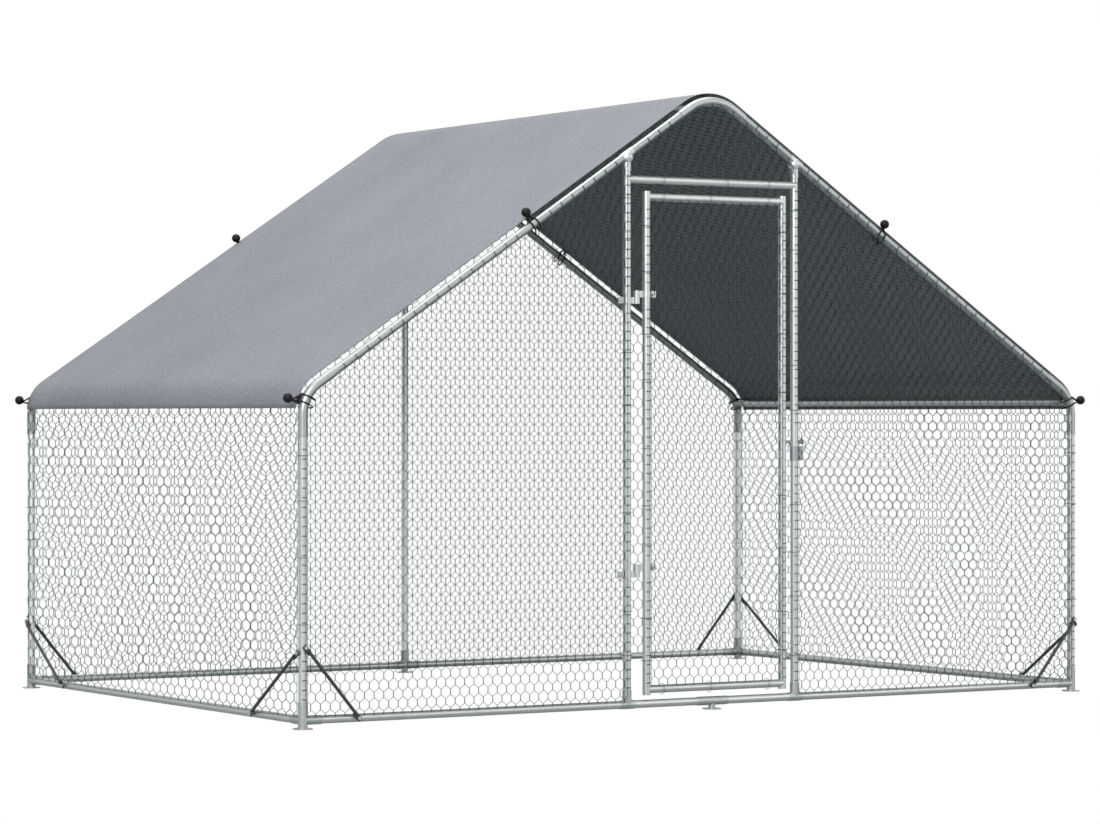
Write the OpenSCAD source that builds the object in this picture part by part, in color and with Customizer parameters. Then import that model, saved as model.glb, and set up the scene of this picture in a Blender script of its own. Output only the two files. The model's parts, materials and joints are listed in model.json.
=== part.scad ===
// Walk-in chicken run: a galvanised tube frame with a gable roof, hexagonal wire
// netting on every side, a netted door on lift-off hinges with a sliding latch rod,
// corner braces, and a roof cover tied down with ball bungees.
// Millimetres. The origin is on the ground under the middle of the run.
// +Y runs from the door gable to the back gable, and +X is right seen from the door.

/* [Frame] */
// Spacing of the corner posts along X, axis to axis
frame_w = 2925; // [2400:5:3600]
// Spacing of the corner posts along Y, axis to axis
frame_d = 1975; // [1500:5:2600]
// Height of the ground rails' axis
rail_z = 27; // [22:1:40]
// Height of the eave rails' axis
eave_z = 976; // [945:1:1150]
// Pitch of the roof in degrees
roof_pitch = 33.4; // [32:0.1:38]
// Outer diameter of the frame tubes
tube_d = 25; // [22:0.5:28]
// Wall of the frame tubes
tube_wall = 1.2; // [0.8:0.1:2]

/* [Connectors] */
// Wall of the connectors' side sockets
socket_wall = 1.2; // [1:0.1:2]
// How much thicker a connector's main leg is than its side sockets
main_extra = 0.5; // [0.3:0.1:1]
// Radial play of a tube in its socket
slip = 0.15; // [0.05:0.05:0.3]
// How much thinner a connector's bend is than its straight legs
bend_step = 0.25; // [0.2:0.05:0.3]
// Shoulder that stops a tube at the start of a bend
stop_step = 1; // [0.5:0.1:1.1]
// Reach of a foot connector's rail sockets, from the post's axis
rail_socket = 60; // [45:1:90]
// Height of the top of a foot connector's post socket
foot_socket_z = 80; // [65:1:120]
// Length of the sleeves at the middle feet
mid_sleeve = 110; // [80:1:160]
// Radius of the bend at the eaves, on the tube's axis
eave_bend_r = 108; // [80:1:150]
// Height of the eave rail above the start of the eave bend
eave_rise = 44; // [34:1:48]
// Length of the eave connectors' straight legs
eave_leg = 67; // [50:1:120]
// Radius of the bend at the ridge, on the tube's axis
apex_bend_r = 155; // [120:1:180]
// Length of the ridge connectors' straight legs
apex_leg = 42; // [38:1:100]
// Reach of the eave and ridge connectors' side sockets, from the bend's axis
side_socket = 70; // [60:1:90]

/* [Feet] */
// Diameter of the foot plates
foot_d = 60; // [50:1:70]
// Thickness of the foot plates
foot_t = 3; // [2:0.5:5]
// Diameter of the stub under a middle foot sleeve
stub_d = 22; // [16:1:24]

/* [Doorway] */
// Distance of each door post from the middle of the front
door_post_x = 320; // [300:1:450]
// Drop of the header's axis below the rafters' axes at the door posts
header_drop = 75.5; // [72:0.5:110]
// Length of the tee sleeves at the door posts' feet
tee_len = 50; // [40:1:80]
// Height of the tee sockets above the ground rail's axis
tee_socket = 45; // [36:1:48]
// Length of the top brackets' sleeves on the rafters
bracket_len = 46; // [36:1:60]
// Length of the top brackets' post sockets below the rafter's axis
bracket_socket = 50; // [40:1:56]
// Diameter of the top brackets' round bosses
boss_d = 42; // [36:1:46]
// Drop of a boss's middle below the rafter's axis
boss_drop = 8; // [6:1:12]

/* [Door] */
// Spacing of the hinge post and the hinge stile, axis to axis
hinge_span = 73; // [66:1:90]
// Spacing of the latch stile and the latch post, axis to axis
latch_span = 48; // [44:1:60]
// Drop of the door's top rail axis below the header's axis
door_top_drop = 54; // [50:1:130]
// Height of the door's bottom rail axis
door_bottom_z = 72; // [70:1:110]
// How far the stiles run past the rails' axes
stile_over = 18; // [14:1:20]

/* [Hinges and latch] */
// Height of the lower post knuckle's middle
lower_hinge_z = 433; // [250:1:600]
// Drop of the upper post knuckle's middle below the door's top rail axis
upper_hinge_drop = 325; // [120:1:500]
// Height of a knuckle and its strap
knuckle_h = 20; // [14:1:30]
// Outer diameter of a knuckle
knuckle_d = 20; // [16:1:22]
// Diameter of the hinge pins
pin_d = 10; // [6:0.5:12]
// Radial play of a hinge pin in the door's knuckle
pin_play = 0.05; // [0.02:0.01:0.1]
// Thickness of the strap steel
strap_t = 1.6; // [1.2:0.1:1.6]
// Thickness of the web between strap and knuckle
web_t = 4; // [3:0.5:6]
// Length of the strap ears
ear_len = 19; // [16:1:24]
// Gap between a strap's two ears
ear_gap = 4; // [3:0.5:6]
// Height of the latch rod's axis
latch_z = 845; // [700:1:1000]
// Diameter of the latch rod
latch_d = 10; // [8:0.5:12]
// Radial play of the latch rod in the door post
latch_play = 0.1; // [0.05:0.01:0.1]
// Radial room for the latch rod in the stile
latch_room = 2.5; // [2.3:0.1:3]
// Gap between the withdrawn rod and the stile
latch_gap = 1.5; // [1:0.1:3]
// Travel of the latch rod
latch_travel = 14; // [10:0.5:15]
// Height of the latch clamp
clamp_h = 46; // [36:1:60]
// Gap between the latch clamp and the rod
clamp_drop = 14; // [12:1:24]
// Diameter of the button at the rod's end
button_d = 16; // [14:1:22]
// Thickness of the button
button_t = 4; // [3:0.5:6]
// Thickness of the rod's finger tab
tab_t = 4; // [3:0.5:5]
// Width of the rod's finger tab
tab_w = 12; // [8:1:16]
// Depth of the rod's finger tab below the rod's axis
tab_drop = 12; // [10:1:12]

/* [Braces] */
// Reach of the braces along the front and back rails
brace_run_x = 180; // [140:1:300]
// Reach of the braces along the side rails
brace_run_y = 300; // [150:1:450]
// Height of the braces' upper bolts
brace_z = 234; // [150:1:350]
// Half the step in height between a corner's two upper bolts
brace_stagger = 8; // [7:1:14]
// Diameter of the brace tubes
brace_d = 10.5; // [9:0.5:16]
// Thickness of the braces' flattened ends
flat_t = 3; // [2:0.5:4]
// Width of the braces' flattened ends
flat_w = 15; // [14:0.5:20]
// Length of the braces' flattened ends
flat_len = 32; // [26:1:40]

/* [Bolts] */
// Diameter of the bolts
bolt_d = 6; // [5:0.5:6]
// Radial room in the bolt holes
bolt_room = 0.3; // [0.2:0.1:0.5]
// Width of the bolt heads and nuts across their corners
head_d = 11.5; // [10:0.5:12]
// Height of the bolt heads and nuts
head_h = 4; // [3:0.5:5]

/* [Netting] */
// Width of a gap in the netting and the strand beside it
net_pitch = 305; // [250:5:400]
// Width of a strand
strand = 5; // [3:0.5:10]
// Thickness of the netting
net_t = 1.5; // [1:0.1:2.5]
// Width of the selvedge along the netting's edges
selvedge = 8; // [6:0.5:14]
// Height of the roof netting's underside above the rafters' axes
roof_net_lift = 24; // [18:0.5:30]
// How far the roof netting's edges lie inside the gables' axes
roof_net_inset = 12; // [10:0.5:20]

/* [Cover] */
// Thickness of the cover
cover_t = 1.2; // [0.8:0.1:2]
// How far the cover's edges lie inside the gables' axes
cover_inset = 7.5; // [6:0.5:8.5]
// Height of the cover's lower edges
cover_edge_z = 952; // [938:1:965]

/* [Ball bungees] */
// Diameter of the balls
ball_d = 30; // [24:1:36]
// Diameter of the elastic cord
cord_d = 4; // [3:0.5:5]
// Spacing of a slope loop's two strands where they go round the rafter
slope_loop = 22; // [14:1:30]
// Place of the slope bungees, along the rafter from the eave bend
bungee_s = 901; // [500:1:1200]
// How far the balls' middles lie inside the gables' axes
ball_inset = 5.5; // [4:0.5:6]

/* [Fits] */
// Gap between pieces that rest on each other
seat = 0.3; // [0.2:0.1:0.5]

/* [Hidden] */
$fn = 48;

LEFT = -1;
RIGHT = 1;
FRONT = -1;
BACK = 1;

GALVANISED = "#C6CAC9";
SOCKETS = "#8E9291";
BLACK = "#26282A";
BOLTS = "#4A4D4E";
WIRE = "#7C8283";
CLOTH = "#9EA0A8";

// Cuts run past the faces that they open by this much
over = 1;
half_w = frame_w / 2;
half_d = frame_d / 2;
tube_r = tube_d / 2;
bore_r = tube_r + slip;
socket_r = bore_r + socket_wall;
main_r = socket_r + main_extra;
bend_r = main_r - bend_step;
bend_bore_r = bore_r - stop_step;
bolt_hole_r = bolt_d / 2 + bolt_room;

// Gap between a tube's end and the stop that it meets
end_gap = 0.5;
// Where a tube's end lies beside a main leg, from that leg's axis
beside_main = main_r + stop_step + end_gap;

// Eave bend, from the top of the post to the rafter
bend_turn = 90 - roof_pitch;
bend_z = eave_z - eave_rise;
eave_angle = asin(eave_rise / eave_bend_r);
eave_x = half_w - eave_bend_r * (1 - cos(eave_angle));
rafter_x = half_w - eave_bend_r * (1 - cos(bend_turn));
rafter_z = bend_z + eave_bend_r * sin(bend_turn);

// Ridge bend
apex_z = rafter_z + rafter_x * tan(roof_pitch);
ridge_centre_z = apex_z - apex_bend_r / cos(roof_pitch);
ridge_z = ridge_centre_z + apex_bend_r;
rafter_len = (rafter_x - apex_bend_r * sin(roof_pitch)) / cos(roof_pitch);

// Heights of the rafters' axes over the door posts
function slope_z(x) = apex_z - abs(x) * tan(roof_pitch);
door_post_top_z = slope_z(door_post_x);
header_z = door_post_top_z - header_drop;
door_top_z = header_z - door_top_drop;
upper_hinge_z = door_top_z - upper_hinge_drop;

// Doorway and door
post_floor_z = foot_t + 6;
tee_floor_z = rail_z + bore_r + stop_step;
bracket_floor_z = door_post_top_z - bore_r / cos(roof_pitch) - tube_r * tan(roof_pitch) - stop_step;
hinge_x = -door_post_x + hinge_span / 2;
hinge_stile_x = -door_post_x + hinge_span;
latch_stile_x = door_post_x - latch_span;
strap_r = bore_r + strap_t;
ear_x = strap_r + ear_len / 2;
latch_tip_x = latch_stile_x + tube_r + latch_gap;
button_x = door_post_x + tube_r + latch_travel + 2;
// The finger tab stands in the gap beside the post, clear of both over its travel
tab_x = door_post_x - tube_r - tab_t - end_gap;
clamp_z = latch_z - clamp_drop - clamp_h;
clamp_bolt_zs = [clamp_z + clamp_h * 0.27, clamp_z + clamp_h * 0.73];

// Layers on the outside of the frame
net_in = main_r + seat;
net_out = net_in + net_t;
brace_in = net_out + seat;
skirt_in = main_r + seat;
cover_in = roof_net_lift + net_t + seat;
cover_out = cover_in + cover_t;
cover_angle = asin((cover_edge_z - bend_z) / (eave_bend_r + cover_in));
roof_net_y = half_d - roof_net_inset;
cover_y = half_d - cover_inset;
// A gap whose middle lies farther than this outside a net is too small to cut
gap_reach = net_pitch * 0.4;
// Straight steps in each of the cover's bends
cover_steps = 12;

// Ball bungees: the strands at the eaves pass above and below the eave rail's socket
ball_lift = cover_out + seat + ball_d / 2;
eave_loop_half = asin((socket_r + cord_d / 2 + seat) / eave_bend_r);
loop_room = main_r + cord_d + 2 * seat;

// Upper bolts of the braces along X and along Y
brace_x_z = brace_z + brace_stagger;
brace_y_z = brace_z - brace_stagger;

// Placing

// Draws for the left side, or mirrored for the right
module side(s) {
    mirror([s > 0 ? 1 : 0, 0, 0]) children();
}

module both_sides() {
    for (s = [LEFT, RIGHT]) side(s) children();
}

// Draws for the front gable, or mirrored for the back
module gable(s) {
    mirror([0, s > 0 ? 1 : 0, 0]) children();
}

// Draws at a corner post's foot, with +X and +Y pointing into the run
module corner(sx, sy) {
    side(sx) gable(sy) translate([-half_w, -half_d, 0]) children();
}

// Swaps X and Y, to lay a shape for an X rail along a Y rail
module along_y() {
    mirror([1, -1, 0]) children();
}

// Draws on the left front rafter: +X up the slope, +Z square off the roof
module on_rafter() {
    translate([-rafter_x, -half_d, rafter_z]) rotate([0, -roof_pitch, 0]) children();
}

// Draws on the left front eave bend at an angle: +X along the tube, +Z outwards
module on_eave_bend(angle) {
    translate([-half_w + eave_bend_r, -half_d, bend_z])
        rotate([0, angle - 90, 0]) translate([0, 0, eave_bend_r]) children();
}

// Tubes and bends

module rod_x(r, length) {
    rotate([0, 90, 0]) cylinder(r = r, h = length);
}

module rod_y(r, length) {
    rotate([-90, 0, 0]) cylinder(r = r, h = length);
}

// A frame tube, up from the origin
module tube(length) {
    difference() {
        cylinder(r = tube_r, h = length);
        translate([0, 0, -over]) cylinder(r = tube_r - tube_wall, h = length + 2 * over);
    }
}

module tube_x(length) {
    rotate([0, 90, 0]) tube(length);
}

module tube_y(length) {
    rotate([-90, 0, 0]) tube(length);
}

// Part of a ring in the XZ plane, from one angle to another above +X
module bend(ring_r, r, from, to) {
    rotate([90, 0, 0]) rotate([0, 0, from])
        rotate_extrude(angle = to - from) translate([ring_r, 0]) circle(r = r);
}

// Holes for a bolt along Y through both walls of a tube at the origin
module bolt_hole_y() {
    translate([0, -tube_d, 0]) rod_y(bolt_hole_r, 2 * tube_d);
}

module bolt_hole_x() {
    translate([-tube_d, 0, 0]) rod_x(bolt_hole_r, 2 * tube_d);
}

// A bolt along Y through the origin: head at -near, nut at far
module bolt_y(near, far) {
    translate([0, -near - head_h, 0]) rotate([-90, 0, 0]) cylinder(d = head_d, h = head_h, $fn = 6);
    translate([0, -near - over, 0]) rod_y(bolt_d / 2, near + far + head_h + 2 * over);
    translate([0, far, 0]) rotate([-90, 0, 0]) cylinder(d = head_d, h = head_h, $fn = 6);
}

// Posts, rafters and rails

module corner_post(sx, sy) {
    color(GALVANISED) corner(sx, sy) difference() {
        translate([0, 0, post_floor_z]) tube(bend_z - end_gap - post_floor_z);
        translate([0, 0, brace_x_z]) bolt_hole_y();
        translate([0, 0, brace_y_z]) bolt_hole_x();
    }
}

module back_centre_post() {
    foot = tee_floor_z + end_gap;
    color(GALVANISED) translate([0, half_d, foot]) tube(ridge_z - beside_main - foot);
}

module door_post(sx) {
    foot = tee_floor_z + end_gap;
    color(GALVANISED) translate([sx * door_post_x, -half_d, 0]) difference() {
        translate([0, 0, foot]) tube(bracket_floor_z - end_gap - foot);
        if (sx > 0)
            translate([-tube_d, 0, latch_z]) rod_x(latch_d / 2 + latch_play, 2 * tube_d);
    }
}

module rafter(sx, sy) {
    color(GALVANISED) side(sx) gable(sy) on_rafter()
        translate([end_gap, 0, 0]) tube_x(rafter_len - 2 * end_gap);
}

module ridge_pole() {
    color(GALVANISED) translate([0, -half_d + beside_main, ridge_z]) tube_y(frame_d - 2 * beside_main);
}

module eave_rail(sx) {
    color(GALVANISED) translate([sx * eave_x, -half_d + beside_main, eave_z])
        tube_y(frame_d - 2 * beside_main);
}

// Half of the front or back ground rail
module gable_rail(sx, sy) {
    color(GALVANISED) corner(sx, sy) translate([0, 0, rail_z]) difference() {
        translate([beside_main, 0, 0]) tube_x(half_w - beside_main - end_gap);
        translate([brace_run_x, 0, 0]) bolt_hole_y();
    }
}

module side_rail(sx) {
    color(GALVANISED) corner(sx, FRONT) translate([0, 0, rail_z]) difference() {
        translate([0, beside_main, 0]) tube_y(frame_d - 2 * beside_main);
        for (y = [brace_run_y, frame_d - brace_run_y]) translate([0, y, 0]) bolt_hole_x();
    }
}

// Feet

module foot_plate() {
    cylinder(d = foot_d, h = foot_t);
}

// Three-way connector that stands on a foot plate
module corner_foot(sx, sy) {
    color(SOCKETS) corner(sx, sy) {
        difference() {
            union() {
                foot_plate();
                cylinder(r = main_r, h = foot_socket_z);
                translate([0, 0, rail_z]) rod_x(socket_r, rail_socket);
                translate([0, 0, rail_z]) rod_y(socket_r, rail_socket);
            }
            translate([0, 0, post_floor_z - end_gap]) cylinder(r = bore_r, h = foot_socket_z);
            translate([main_r + stop_step, 0, rail_z]) rod_x(bore_r, rail_socket);
            translate([0, main_r + stop_step, rail_z]) rod_y(bore_r, rail_socket);
        }
    }
}

// Sleeve on a ground rail's middle, on a stub and a foot plate
module middle_foot_body() {
    foot_plate();
    cylinder(d = stub_d, h = rail_z);
    translate([-mid_sleeve / 2, 0, rail_z]) rod_x(socket_r, mid_sleeve);
}

module middle_sleeve_bore() {
    translate([-mid_sleeve, 0, rail_z]) rod_x(bore_r, 2 * mid_sleeve);
}

module front_middle_foot() {
    color(SOCKETS) translate([0, -half_d, 0]) difference() {
        middle_foot_body();
        middle_sleeve_bore();
    }
}

module back_middle_foot() {
    color(SOCKETS) translate([0, half_d, 0]) difference() {
        union() {
            middle_foot_body();
            translate([0, 0, rail_z]) cylinder(r = main_r, h = foot_socket_z - rail_z);
        }
        middle_sleeve_bore();
        translate([0, 0, tee_floor_z]) cylinder(r = bore_r, h = foot_socket_z);
    }
}

// Eave and ridge connectors

// Three-way bend from post to rafter, with a side socket for the eave rail
module eave_joint(sx, sy) {
    color(SOCKETS) side(sx) gable(sy) difference() {
        union() {
            eave_body();
            translate([-eave_x, -half_d, eave_z]) rod_y(socket_r, side_socket);
        }
        eave_bores();
        translate([-eave_x, -half_d + main_r + stop_step, eave_z]) rod_y(bore_r, side_socket);
    }
}

// The bend and its two straight legs, which run a little way into the bend
module eave_body() {
    translate([-half_w, -half_d, bend_z - eave_leg]) cylinder(r = main_r, h = eave_leg + over);
    translate([-half_w + eave_bend_r, -half_d, bend_z])
        bend(eave_bend_r, bend_r, 180 - bend_turn, 180);
    on_rafter() translate([-over, 0, 0]) rod_x(main_r, eave_leg + over);
}

module eave_bores() {
    translate([-half_w, -half_d, bend_z - eave_leg - over])
        cylinder(r = bore_r, h = eave_leg + 2 * over);
    translate([-half_w + eave_bend_r, -half_d, bend_z])
        bend(eave_bend_r, bend_bore_r, 180 - bend_turn, 180);
    on_rafter() translate([-over, 0, 0]) rod_x(bore_r, eave_leg + 2 * over);
}

// Bend over the ridge, with a side socket for the ridge pole
module ridge_joint_body() {
    for (s = [LEFT, RIGHT])
        side(s) on_rafter() translate([rafter_len - apex_leg, 0, 0]) rod_x(main_r, apex_leg + over);
    translate([0, -half_d, ridge_centre_z])
        bend(apex_bend_r, bend_r, 90 - roof_pitch, 90 + roof_pitch);
    translate([0, -half_d, ridge_z]) rod_y(socket_r, side_socket);
}

module ridge_joint_bores() {
    for (s = [LEFT, RIGHT])
        side(s) on_rafter()
            translate([rafter_len - apex_leg - over, 0, 0]) rod_x(bore_r, apex_leg + 2 * over);
    translate([0, -half_d, ridge_centre_z])
        bend(apex_bend_r, bend_bore_r, 90 - roof_pitch, 90 + roof_pitch);
    translate([0, -half_d + main_r + stop_step, ridge_z]) rod_y(bore_r, side_socket);
}

module front_ridge_joint() {
    color(SOCKETS) difference() {
        ridge_joint_body();
        ridge_joint_bores();
    }
}

// The back one also holds the top of the centre post
module back_ridge_joint() {
    color(SOCKETS) gable(BACK) difference() {
        union() {
            ridge_joint_body();
            translate([0, -half_d, ridge_z - side_socket]) cylinder(r = socket_r, h = side_socket);
        }
        ridge_joint_bores();
        translate([0, -half_d, ridge_z - side_socket - over])
            cylinder(r = bore_r, h = side_socket + over - main_r - stop_step);
    }
}

// Doorway

module door_header() {
    color(GALVANISED) translate([0, -half_d, header_z]) difference() {
        translate([-door_post_x, 0, 0]) tube_x(2 * door_post_x);
        for (x = [-door_post_x, door_post_x])
            translate([x, 0, -tube_d]) cylinder(r = bore_r, h = 2 * tube_d);
    }
}

// Sleeves on the ground rail that hold the door posts' feet
module door_post_tees() {
    color(SOCKETS) for (s = [LEFT, RIGHT]) side(s) translate([-door_post_x, -half_d, rail_z]) difference() {
        union() {
            translate([-tee_len / 2, 0, 0]) rod_x(socket_r, tee_len);
            cylinder(r = main_r, h = tee_socket);
        }
        translate([-tee_len, 0, 0]) rod_x(bore_r, 2 * tee_len);
        translate([0, 0, tee_floor_z - rail_z]) cylinder(r = bore_r, h = tee_socket);
    }
}

// Sleeves on the rafters that hold the door posts' tops
module door_post_brackets() {
    color(SOCKETS) for (s = [LEFT, RIGHT]) side(s) translate([-door_post_x, -half_d, 0]) difference() {
        union() {
            translate([0, 0, door_post_top_z - bracket_socket]) cylinder(r = main_r, h = bracket_socket);
            translate([0, 0, door_post_top_z]) rotate([0, -roof_pitch, 0])
                translate([-bracket_len / 2, 0, 0]) rod_x(socket_r, bracket_len);
            translate([0, 0, door_post_top_z - boss_drop]) sphere(d = boss_d);
        }
        translate([0, 0, door_post_top_z]) rotate([0, -roof_pitch, 0])
            translate([-bracket_len, 0, 0]) rod_x(bore_r, 2 * bracket_len);
        translate([0, 0, door_post_top_z - bracket_socket - over])
            cylinder(r = bore_r, h = bracket_floor_z - door_post_top_z + bracket_socket + over);
    }
}

// Braces and bolts

// A brace along an X rail, out from the corner's axes towards -Y
module brace(run, top_z) {
    length = norm([run, top_z - rail_z]);
    ends = flat_len - flat_w / 2;
    translate([0, -brace_in, top_z]) rotate([0, atan2(top_z - rail_z, run), 0]) difference() {
        union() {
            translate([ends - flat_w / 2, -brace_d / 2 - end_gap, 0])
                rod_x(brace_d / 2, length - 2 * ends + flat_w);
            for (x = [-flat_w / 2, length + flat_w / 2 - flat_len])
                translate([x, -flat_t, -flat_w / 2]) cube([flat_len, flat_t, flat_w]);
        }
        for (x = [0, length]) translate([x, 0, 0]) bolt_hole_y();
    }
}

module corner_braces(sx, sy) {
    color(BLACK) corner(sx, sy) {
        brace(brace_run_x, brace_x_z);
        along_y() brace(brace_run_y, brace_y_z);
    }
}

// The four bolts at a corner's braces
module brace_bolts() {
    near = brace_in + flat_t;
    translate([0, 0, brace_x_z]) bolt_y(near, tube_r);
    translate([brace_run_x, 0, rail_z]) bolt_y(near, tube_r);
    along_y() {
        translate([0, 0, brace_y_z]) bolt_y(near, tube_r);
        translate([brace_run_y, 0, rail_z]) bolt_y(near, tube_r);
    }
}

// A bolt through a strap's ears
module ear_bolt() {
    bolt_y(ear_gap / 2 + strap_t, ear_gap / 2 + strap_t);
}

module frame_bolts() {
    color(BOLTS) {
        for (sx = [LEFT, RIGHT], sy = [FRONT, BACK]) corner(sx, sy) brace_bolts();
        for (z = [lower_hinge_z, upper_hinge_z])
            translate([-door_post_x - ear_x, -half_d, z]) ear_bolt();
        for (z = clamp_bolt_zs) translate([door_post_x + ear_x, -half_d, z]) ear_bolt();
    }
}

module door_bolts() {
    color(BOLTS) for (z = [lower_hinge_z, upper_hinge_z])
        translate([hinge_stile_x + ear_x, -half_d, z + knuckle_h + seat]) ear_bolt();
}

// Door

module stile(x) {
    translate([x, -half_d, door_bottom_z - stile_over])
        tube(door_top_z - door_bottom_z + 2 * stile_over);
}

module hinge_stile() {
    color(GALVANISED) stile(hinge_stile_x);
}

// The latch stile has a hole for the rod in its outer wall
module latch_stile() {
    color(GALVANISED) difference() {
        stile(latch_stile_x);
        translate([latch_stile_x, -half_d, latch_z]) rod_x(latch_d / 2 + latch_room, tube_d);
    }
}

// A rail between the stiles, its ends cut to fit round them
module door_rail(z) {
    color(GALVANISED) translate([0, -half_d, z]) difference() {
        translate([hinge_stile_x, 0, 0]) tube_x(latch_stile_x - hinge_stile_x);
        for (x = [hinge_stile_x, latch_stile_x])
            translate([x, 0, -tube_d]) cylinder(r = bore_r, h = 2 * tube_d);
    }
}

// Hinges and latch

// A strap bent round a tube at the origin, its ears towards -X
module strap(height, bolt_zs) {
    difference() {
        union() {
            cylinder(r = strap_r, h = height);
            translate([-strap_r - ear_len, -ear_gap / 2 - strap_t, 0])
                cube([ear_len + strap_r, ear_gap + 2 * strap_t, height]);
        }
        translate([0, 0, -over]) cylinder(r = bore_r, h = height + 2 * over);
        translate([-strap_r - ear_len - over, -ear_gap / 2, -over])
            cube([ear_len + strap_r, ear_gap, height + 2 * over]);
        for (z = bolt_zs) translate([-ear_x, 0, z]) bolt_hole_y();
    }
}

// A strap with the web that carries its knuckle, on its +X side
module hinge_strap() {
    strap(knuckle_h, [knuckle_h / 2]);
    translate([strap_r - strap_t / 2, -web_t / 2, 0])
        cube([hinge_span / 2 - strap_r - knuckle_d / 2 + strap_t / 2 + 2, web_t, knuckle_h]);
}

// Post halves of the hinges, each with its upright pin
module hinge_post_straps() {
    color(GALVANISED) for (z = [lower_hinge_z, upper_hinge_z])
        translate([-door_post_x, -half_d, z - knuckle_h / 2]) {
            hinge_strap();
            translate([hinge_span / 2, 0, 0]) cylinder(d = knuckle_d, h = knuckle_h);
            translate([hinge_span / 2, 0, 0]) cylinder(d = pin_d, h = 2 * knuckle_h + 2);
        }
}

// Door halves of the hinges, which drop over the pins
module hinge_door_straps() {
    color(GALVANISED) for (z = [lower_hinge_z, upper_hinge_z])
        translate([hinge_stile_x, -half_d, z + knuckle_h / 2 + seat]) difference() {
            union() {
                mirror([1, 0, 0]) hinge_strap();
                translate([-hinge_span / 2, 0, 0]) cylinder(d = knuckle_d, h = knuckle_h);
            }
            translate([-hinge_span / 2, 0, -over])
                cylinder(d = pin_d + 2 * pin_play, h = knuckle_h + 2 * over);
        }
}

module latch_clamp() {
    color(GALVANISED) translate([door_post_x, -half_d, clamp_z]) mirror([1, 0, 0])
        strap(clamp_h, [for (z = clamp_bolt_zs) z - clamp_z]);
}

// The rod slides through the door post, with a finger tab and an end button
module latch_rod() {
    color(BOLTS) translate([0, -half_d, latch_z]) {
        translate([latch_tip_x, 0, 0]) rod_x(latch_d / 2, button_x - latch_tip_x);
        translate([button_x, 0, 0]) rod_x(button_d / 2, button_t);
        translate([tab_x, -tab_w / 2, -tab_drop]) cube([tab_t, tab_w, tab_drop]);
    }
}

// Netting

// The outline of a convex net moved inwards, its points running anticlockwise
function unit(v) = v / norm(v);
function turned(v) = [-v[1], v[0]];
function cross_of(p, u, q, v) = p + u * ((q - p) * turned(v)) / (u * turned(v));
function edge_dir(pts, i) = unit(pts[(i + 1) % len(pts)] - pts[i]);
function inset(pts, d) = [for (i = [0 : len(pts) - 1])
    let (j = (i + len(pts) - 1) % len(pts), u = edge_dir(pts, j), v = edge_dir(pts, i))
    cross_of(pts[j] + turned(u) * d, u, pts[i] + turned(v) * d, v)];

// How far a point lies inside such an outline
function depth(pts, p) =
    min([for (i = [0 : len(pts) - 1]) (p - pts[i]) * turned(edge_dir(pts, i))]);

// A flat hexagonal net with upright strands, in the XY plane. Its first child is cut
// out as notches, and its second child keeps the gaps away from them.
module net(pts, low, high) {
    row = net_pitch * sin(60);
    gap_r = (net_pitch - strand) / 2 / cos(30);
    inner = inset(pts, selvedge);
    columns = ceil((high[0] - low[0]) / net_pitch);
    rows = ceil((high[1] - low[1]) / row);
    linear_extrude(net_t) difference() {
        polygon(pts);
        difference() {
            intersection() {
                polygon(inner);
                for (j = [0 : rows], i = [0 : columns]) {
                    at = low + [(i + (j % 2) / 2) * net_pitch, (j + 0.4) * row];
                    if (depth(inner, at) > -gap_reach)
                        translate(at) rotate(30) circle(r = gap_r, $fn = 6);
                }
            }
            if ($children > 1) children(1);
        }
        if ($children > 0) children(0);
    }
}

// Stands a net up in a gable's outer face, with its X to the right and Y up
module upright() {
    translate([0, -half_d - net_in, 0]) rotate([90, 0, 0]) children();
}

// Notches that let the bolts and bungees of the left half of a gable past its net,
// with a rim of a given width added
module gable_notches(rim) {
    for (at = [[-half_w, brace_x_z], [-half_w + brace_run_x, rail_z]])
        translate(at) circle(r = bolt_hole_r + rim);
    translate([-rafter_x, rafter_z]) rotate(roof_pitch) translate([bungee_s, 0])
        square([slope_loop + 2 * (cord_d + rim), 2 * (loop_room + rim)], center = true);
    translate([-half_w + eave_bend_r, bend_z]) rotate(90 - eave_angle) translate([0, eave_bend_r])
        square(2 * [socket_r + 2 * cord_d + rim, loop_room + rim], center = true);
}

// Room for the left bracket's boss in the front nets
module boss_notch(rim) {
    translate([-door_post_x, door_post_top_z - boss_drop]) circle(r = boss_d / 2 + rim);
}

module front_notches(rim) {
    gable_notches(rim);
    boss_notch(rim);
}

// Notches along the left edge of a side net
module side_notches(rim) {
    for (at = [[-half_d, brace_y_z], [-half_d + brace_run_y, rail_z]])
        translate(at) circle(r = bolt_hole_r + rim);
    translate([-half_d, eave_z]) square(2 * (loop_room + rim), center = true);
}

// Outline of a gable's net between two distances from the middle, on the left
eave_chord = eave_bend_r * [1 - cos(bend_turn / 2), sin(bend_turn / 2)];
function half_gable(inner_x) = [
    [-half_w, rail_z],
    [-inner_x, rail_z],
    [-inner_x, slope_z(inner_x)],
    [-rafter_x, rafter_z],
    [-half_w + eave_chord[0], bend_z + eave_chord[1]],
    [-half_w, bend_z]
];

module front_side_net(s) {
    color(WIRE) side(s) upright()
        net(half_gable(door_post_x + end_gap), [-half_w, rail_z], [-door_post_x, door_post_top_z]) {
            front_notches(0);
            front_notches(selvedge);
        }
}

ridge_chord_z = ridge_centre_z + apex_bend_r * cos(roof_pitch);
ridge_chord_x = apex_bend_r * sin(roof_pitch);

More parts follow.
